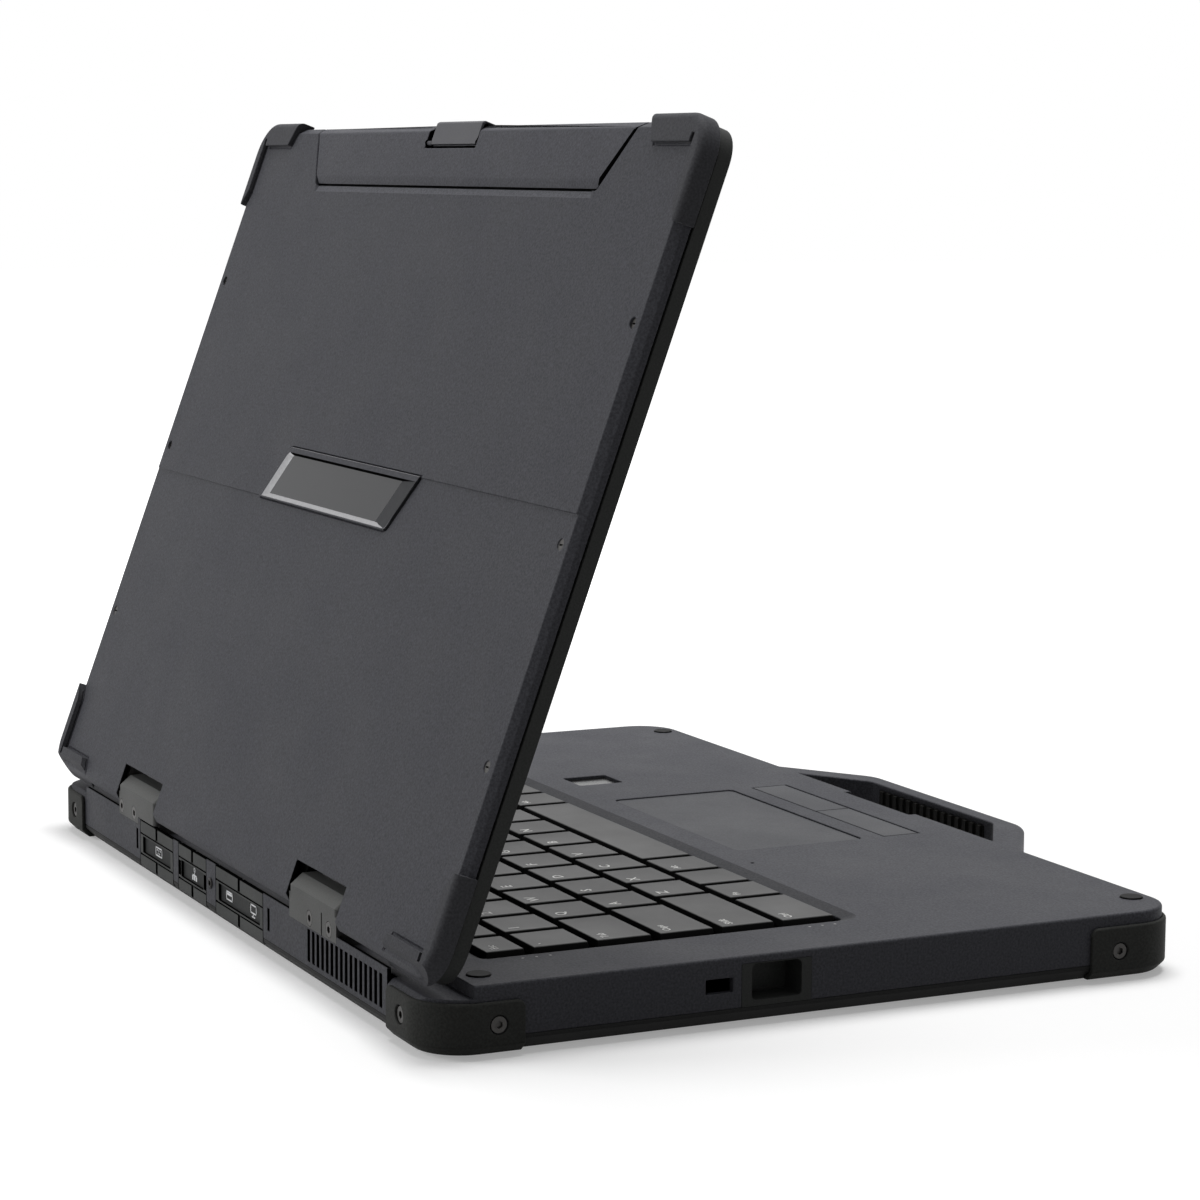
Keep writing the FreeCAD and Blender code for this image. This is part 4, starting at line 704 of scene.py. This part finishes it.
def paint_badge_light_and_shade():
    """A frame with a painted highlight on the bevel at its foot and far end, painted shade on the one at its
    top and near end, and a painted shadow under its top.
    """
    piece = soften("badge_frame", badge_edge, reshape=trim_badge)
    refinish(piece, bevel_painted_highlight, on_bright_bevel)
    refinish(piece, bevel_dark, on_dark_bevel)
    refinish(piece, painted_shade, under_badge_top)


# Key legends

legends = {
    "keys_function_row": ["Esc"] + ["F%d" % number for number in range(1, 13)] + ["Ins", "Del"],
    "keys_number_row": list("`1234567890-=") + ["Back"],
    "keys_upper_row": ["Tab"] + list("QWERTYUIOP[]\\"),
    "keys_home_row": ["Caps"] + list("ASDFGHJKL;'") + ["Enter"],
    "keys_lower_row": ["Shift"] + list("ZXCVBNM,./") + ["Shift"],
    "keys_bottom_row": ["Ctrl", "Fn", "", "Alt", "Alt", "Ctrl", "<", "^", ">"],
}
letter_size = 4.6 * MM
word_size = 3.2 * MM
letter_height = 0.7
letter_curve = 2
legend_weight = 0.06 * MM
legend_inset = 3.0 * MM
legend_lift = 0.02 * MM - key_dish


def add_text(build, words, size, place):
    """Flat lettering laid on a face that looks up, added to a mesh."""
    curve = bpy.data.curves.new("lettering", "FONT")
    curve.body = words
    curve.size = size
    curve.resolution_u = letter_curve
    curve.offset = legend_weight
    sign = bpy.data.objects.new("lettering", curve)
    mesh = bpy.data.meshes.new_from_object(sign)
    mesh.transform(Matrix.Translation(place))
    build.from_mesh(mesh)
    bpy.data.objects.remove(sign)
    bpy.data.curves.remove(curve)
    bpy.data.meshes.remove(mesh)


def print_legends():
    for node, words in legends.items():
        build = bmesh.new()
        for word, (low, high) in zip(words, island_boxes(node)):
            size = letter_size if len(word) == 1 else word_size
            base = high.y - legend_inset - size * letter_height
            if word:
                add_text(build, word, size, Vector((low.x + legend_inset, base, high.z + legend_lift)))
        new_piece("legends_" + node, build, body_of[node], legend_ink)


# Signs on the port covers, with their bars in millimetres

mark_t = 0.06 * MM
mark_line = 0.45
mark_reach = 5.0 * MM


def plate(build, middle, size):
    """A small box, by its middle and its three sizes."""
    bmesh.ops.create_cube(build, size=1.0, matrix=Matrix.Translation(middle) @ Matrix.Diagonal((*size, 1.0)))


def upright_bar(build, middle, across, up, wide, tall):
    """A flat bar on a face that looks to the rear, offset from a middle point."""
    plate(build, middle + Vector((across * MM, 0, up * MM)), (wide * MM, mark_t, tall * MM))


def upright_ring(build, middle, up, wide, tall):
    """An outline of four bars."""
    for side in (-1, 1):
        upright_bar(build, middle, across=side * (wide - mark_line) / 2, up=up, wide=mark_line, tall=tall)
        upright_bar(build, middle, across=0, up=up + side * (tall - mark_line) / 2, wide=wide, tall=mark_line)


def serial_mark(build, middle):
    """A socket with two rows of pins."""
    upright_ring(build, middle, up=0, wide=6.6, tall=3.0)
    for pin in (-1.6, 0, 1.6):
        upright_bar(build, middle, across=pin, up=0.5, wide=0.55, tall=0.55)
    for pin in (-0.8, 0.8):
        upright_bar(build, middle, across=pin, up=-0.5, wide=0.55, tall=0.55)


def network_mark(build, middle):
    """A box that branches into three."""
    upright_ring(build, middle, up=1.4, wide=1.6, tall=1.4)
    upright_bar(build, middle, across=0, up=0.2, wide=0.4, tall=1.0)
    upright_bar(build, middle, across=0, up=-0.3, wide=3.6, tall=0.4)
    for box in (-1.7, 0, 1.7):
        upright_bar(build, middle, across=box, up=-1.2, wide=1.2, tall=1.4)


def usb_mark(build, middle):
    """A flat plug with its tongue."""
    upright_ring(build, middle, up=0, wide=5.6, tall=2.8)
    upright_bar(build, middle, across=0, up=0.5, wide=4.2, tall=0.7)


def video_mark(build, middle):
    """A screen on a foot."""
    upright_ring(build, middle, up=0.5, wide=5.2, tall=2.8)
    upright_bar(build, middle, across=0, up=-1.3, wide=0.5, tall=0.9)
    upright_bar(build, middle, across=0, up=-1.8, wide=2.6, tall=0.45)


# Each with its place as a share of its cover's width
cover_marks = [("serial_cover", 0.5, serial_mark), ("network_cover", 0.5, network_mark),
               ("usb_video_cover", 0.74, usb_mark), ("usb_video_cover", 0.26, video_mark)]


def print_cover_marks():
    """A plain sign for its socket on every port cover."""
    for node, share, mark in cover_marks:
        low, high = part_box(node)
        place = Vector((low.x + share * (high.x - low.x), high.y + mark_reach, (low.z + high.z) / 2))
        solid = merged_copy(node)
        middle = BVHTree.FromBMesh(solid).ray_cast(place, Vector((0, -1, 0)))[0]
        solid.free()
        build = bmesh.new()
        mark(build, middle)
        new_piece(mark.__name__, build, body_of[node], white_ink)


# Small parts

screw_r = 1.5 * MM
screw_t = 0.5 * MM
screw_lift = 0.4 * screw_t
screw_sides = 24
screw_round = 0.15 * MM
screw_rim = 0.5 * MM
screw_wall = 0.04 * MM
screw_socket = 0.3 * MM
screw_dark_r = 0.9 * MM
screw_front = 0.9


def panel_strip_screw():
    """A small screw on the strip between two port covers."""
    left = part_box("usb_video_cover")[1].x
    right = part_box("network_cover")[0].x
    place = Vector(((left + right) / 2, panel_high.y + screw_lift, (panel_low.z + panel_high.z) / 2))
    lying = Matrix.Translation(place) @ Matrix.Rotation(-math.pi / 2, 4, "X")
    build = bmesh.new()
    bmesh.ops.create_cone(build, cap_ends=True, segments=screw_sides, radius1=screw_r, radius2=screw_r,
                          depth=screw_t, matrix=lying)
    head = [face for face in build.faces if face.normal.y > screw_front]
    bmesh.ops.bevel(build, geom=list(head[0].edges), offset=screw_round, segments=edge_segments, profile=0.5,
                    affect="EDGES", clamp_overlap=False, material=-1)
    head = [face for face in build.faces if face.normal.y > screw_front]
    bmesh.ops.inset_individual(build, faces=head, thickness=screw_rim)
    bmesh.ops.inset_individual(build, faces=head, thickness=screw_wall, depth=-screw_socket)
    shade(build, set())
    piece = new_piece("panel_strip_screw", build, body_of["rear_panel"], steel)
    # Painted shade in the screw's socket.
    refinish(piece, painted_shade, lambda middle, normal: (middle - place).xz.length < screw_dark_r)


lamp_in = 22.0 * MM
lamp_rows = (105.0 * MM, 192.0 * MM)
lamp_pitch = 4.0 * MM
lamp_r = 0.4 * MM
lamp_sides = 12
ear_place = Vector((101.0, 84.4, 0)) * MM
ear_r = 0.6 * MM
ear_sides = 16


def spot(build, place, radius, sides):
    """A thin round disc that looks up."""
    bmesh.ops.create_cone(build, cap_ends=True, segments=sides, radius1=radius, radius2=radius, depth=mark_t,
                          matrix=Matrix.Translation(place))


def deck_lamps_and_ear():
    """Small status lamps at the left of the keyboard and a microphone hole in front of it, drawn as a flat
    disc of painted shade.
    """
    low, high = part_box("top_case")
    corner = Vector((low.x, low.y, high.z + mark_t / 2))
    build = bmesh.new()
    for row in lamp_rows:
        for step in (-1, 0, 1):
            spot(build, corner + Vector((lamp_in, row + step * lamp_pitch, 0)), lamp_r, lamp_sides)
    new_piece("status_lamps", build, body_of["top_case"], lamp_lens)
    build = bmesh.new()
    spot(build, corner + ear_place, ear_r, ear_sides)
    # A flat disc of painted shade where the hole is.
    new_piece("microphone_hole", build, body_of["top_case"], painted_shade)


# Studio

photo_right = Vector((-0.430942, -0.902360, 0.005917))
photo_down = Vector((-0.115353, 0.048583, -0.992136))
photo_forward = Vector((0.894977, -0.428235, -0.125026))
photo_stand = Vector((-0.90209, 0.53881, 0.20778))
photo_sensor = 36.0
photo_focus = 96.41
photo_shift_x = 0.0058
photo_shift_y = -0.0225
nearest_seen = 0.01


def camera_like_photo():
    """The photograph's own viewpoint, measured from the middle of the deck's front edge."""
    low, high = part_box("top_case")
    stand = Vector((0, low.y, high.z)) + photo_stand
    lens = bpy.data.cameras.new("photo_lens")
    lens.sensor_width = photo_sensor
    lens.lens = photo_focus
    lens.shift_x = photo_shift_x
    lens.shift_y = photo_shift_y
    lens.clip_start = nearest_seen
    camera = bpy.data.objects.new("photo_camera", lens)
    scene.collection.objects.link(camera)
    turn = Matrix((photo_right, -photo_down, -photo_forward)).transposed().to_4x4()
    camera.matrix_world = Matrix.Translation(stand) @ turn
    scene.camera = camera


def soft_lamp(name, place, aim, size, power):
    light = bpy.data.lights.new(name, "AREA")
    light.energy = power
    light.size = size
    lamp = bpy.data.objects.new(name, light)
    lamp.location = place
    lamp.rotation_euler = (Vector(aim) - Vector(place)).to_track_quat("-Z", "Y").to_euler()
    scene.collection.objects.link(lamp)


def seen_directly(tree):
    """One where the camera, a gloss or a clear piece looks, and nought for soft light."""
    path = tree.nodes.new("ShaderNodeLightPath")
    seen = path.outputs["Is Camera Ray"]
    for ray in ("Is Glossy Ray", "Is Transmission Ray"):
        either = tree.nodes.new("ShaderNodeMath")
        either.operation = "MAXIMUM"
        tree.links.new(seen, either.inputs[0])
        tree.links.new(path.outputs[ray], either.inputs[1])
        seen = either.outputs["Value"]
    return seen


white = (1.0, 1.0, 1.0, 1.0)
ambient = 0.14


def white_world():
    """White where it is seen, and a dim soft light elsewhere."""
    world = bpy.data.worlds.new("studio_white")
    world.use_nodes = True
    tree = world.node_tree
    back = tree.nodes["Background"]
    level = tree.nodes.new("ShaderNodeMapRange")
    level.inputs["To Min"].default_value = ambient
    level.inputs["To Max"].default_value = 1.0
    tree.links.new(seen_directly(tree), level.inputs["Value"])
    tree.links.new(level.outputs["Result"], back.inputs["Strength"])
    back.inputs["Color"].default_value = white
    scene.world = world


floor_half = 6.0
floor_near = 0.24
floor_far = 0.75
floor_glow = 0.3
floor_rough = 0.9
floor_bounce = (0.3, 0.3, 0.3, 1.0)
paper_grain = 400.0
paper_dark = (0.77, 0.77, 0.77)
paper_light = (0.78, 0.78, 0.78)


def distance_fade(tree):
    """A value that grows with the distance from the object, up to one."""
    place = tree.nodes.new("ShaderNodeTexCoord")
    length = tree.nodes.new("ShaderNodeVectorMath")
    length.operation = "LENGTH"
    tree.links.new(place.outputs["Object"], length.inputs[0])
    fade = tree.nodes.new("ShaderNodeMapRange")
    fade.interpolation_type = "SMOOTHSTEP"
    fade.inputs["From Min"].default_value = floor_near
    fade.inputs["From Max"].default_value = floor_far
    fade.inputs["To Min"].default_value = floor_glow
    fade.inputs["To Max"].default_value = 1.0
    tree.links.new(length.outputs["Value"], fade.inputs["Value"])
    return fade.outputs["Result"]


def studio_paper():
    """White paper that glows where it is seen far from the object, and throws back little light."""
    material, tree, shader = new_material("studio_paper")
    pale = two_tone(tree, object_noise(tree, paper_grain), paper_dark, paper_light)
    seen = seen_directly(tree)
    tint = tree.nodes.new("ShaderNodeMix")
    tint.data_type = "RGBA"
    tint.inputs["A"].default_value = floor_bounce
    tree.links.new(seen, tint.inputs["Factor"])
    tree.links.new(pale, tint.inputs["B"])
    tree.links.new(tint.outputs["Result"], shader.inputs["Base Color"])
    shader.inputs["Roughness"].default_value = floor_rough
    shader.inputs["Specular IOR Level"].default_value = 0.0
    glow = tree.nodes.new("ShaderNodeMath")
    glow.operation = "MULTIPLY"
    tree.links.new(seen, glow.inputs[0])
    tree.links.new(distance_fade(tree), glow.inputs[1])
    shader.inputs["Emission Color"].default_value = white
    tree.links.new(glow.outputs["Value"], shader.inputs["Emission Strength"])
    return material


def pale_floor():
    """A wide floor that keeps the shadow and runs out into white."""
    mesh = bpy.data.meshes.new("studio_floor")
    build = bmesh.new()
    bmesh.ops.create_grid(build, x_segments=1, y_segments=1, size=floor_half)
    build.to_mesh(mesh)
    build.free()
    floor = bpy.data.objects.new("studio_floor", mesh)
    scene.collection.objects.link(floor)
    mesh.materials.append(studio_paper())


def studio():
    camera_like_photo()
    white_world()
    pale_floor()
    soft_lamp("top_lamp", place=(0.2, -0.2, 1.8), aim=(0, 0, 0.05), size=1.2, power=30.0)
    soft_lamp("rear_lamp", place=(0.9, 1.8, 0.9), aim=(0, 0.05, 0.1), size=1.0, power=17.0)
    scene.view_settings.view_transform = "Standard"


paint_nodes()
soften_edges()
paint_badge_light_and_shade()
print_legends()
print_cover_marks()
panel_strip_screw()
deck_lamps_and_ear()
studio()
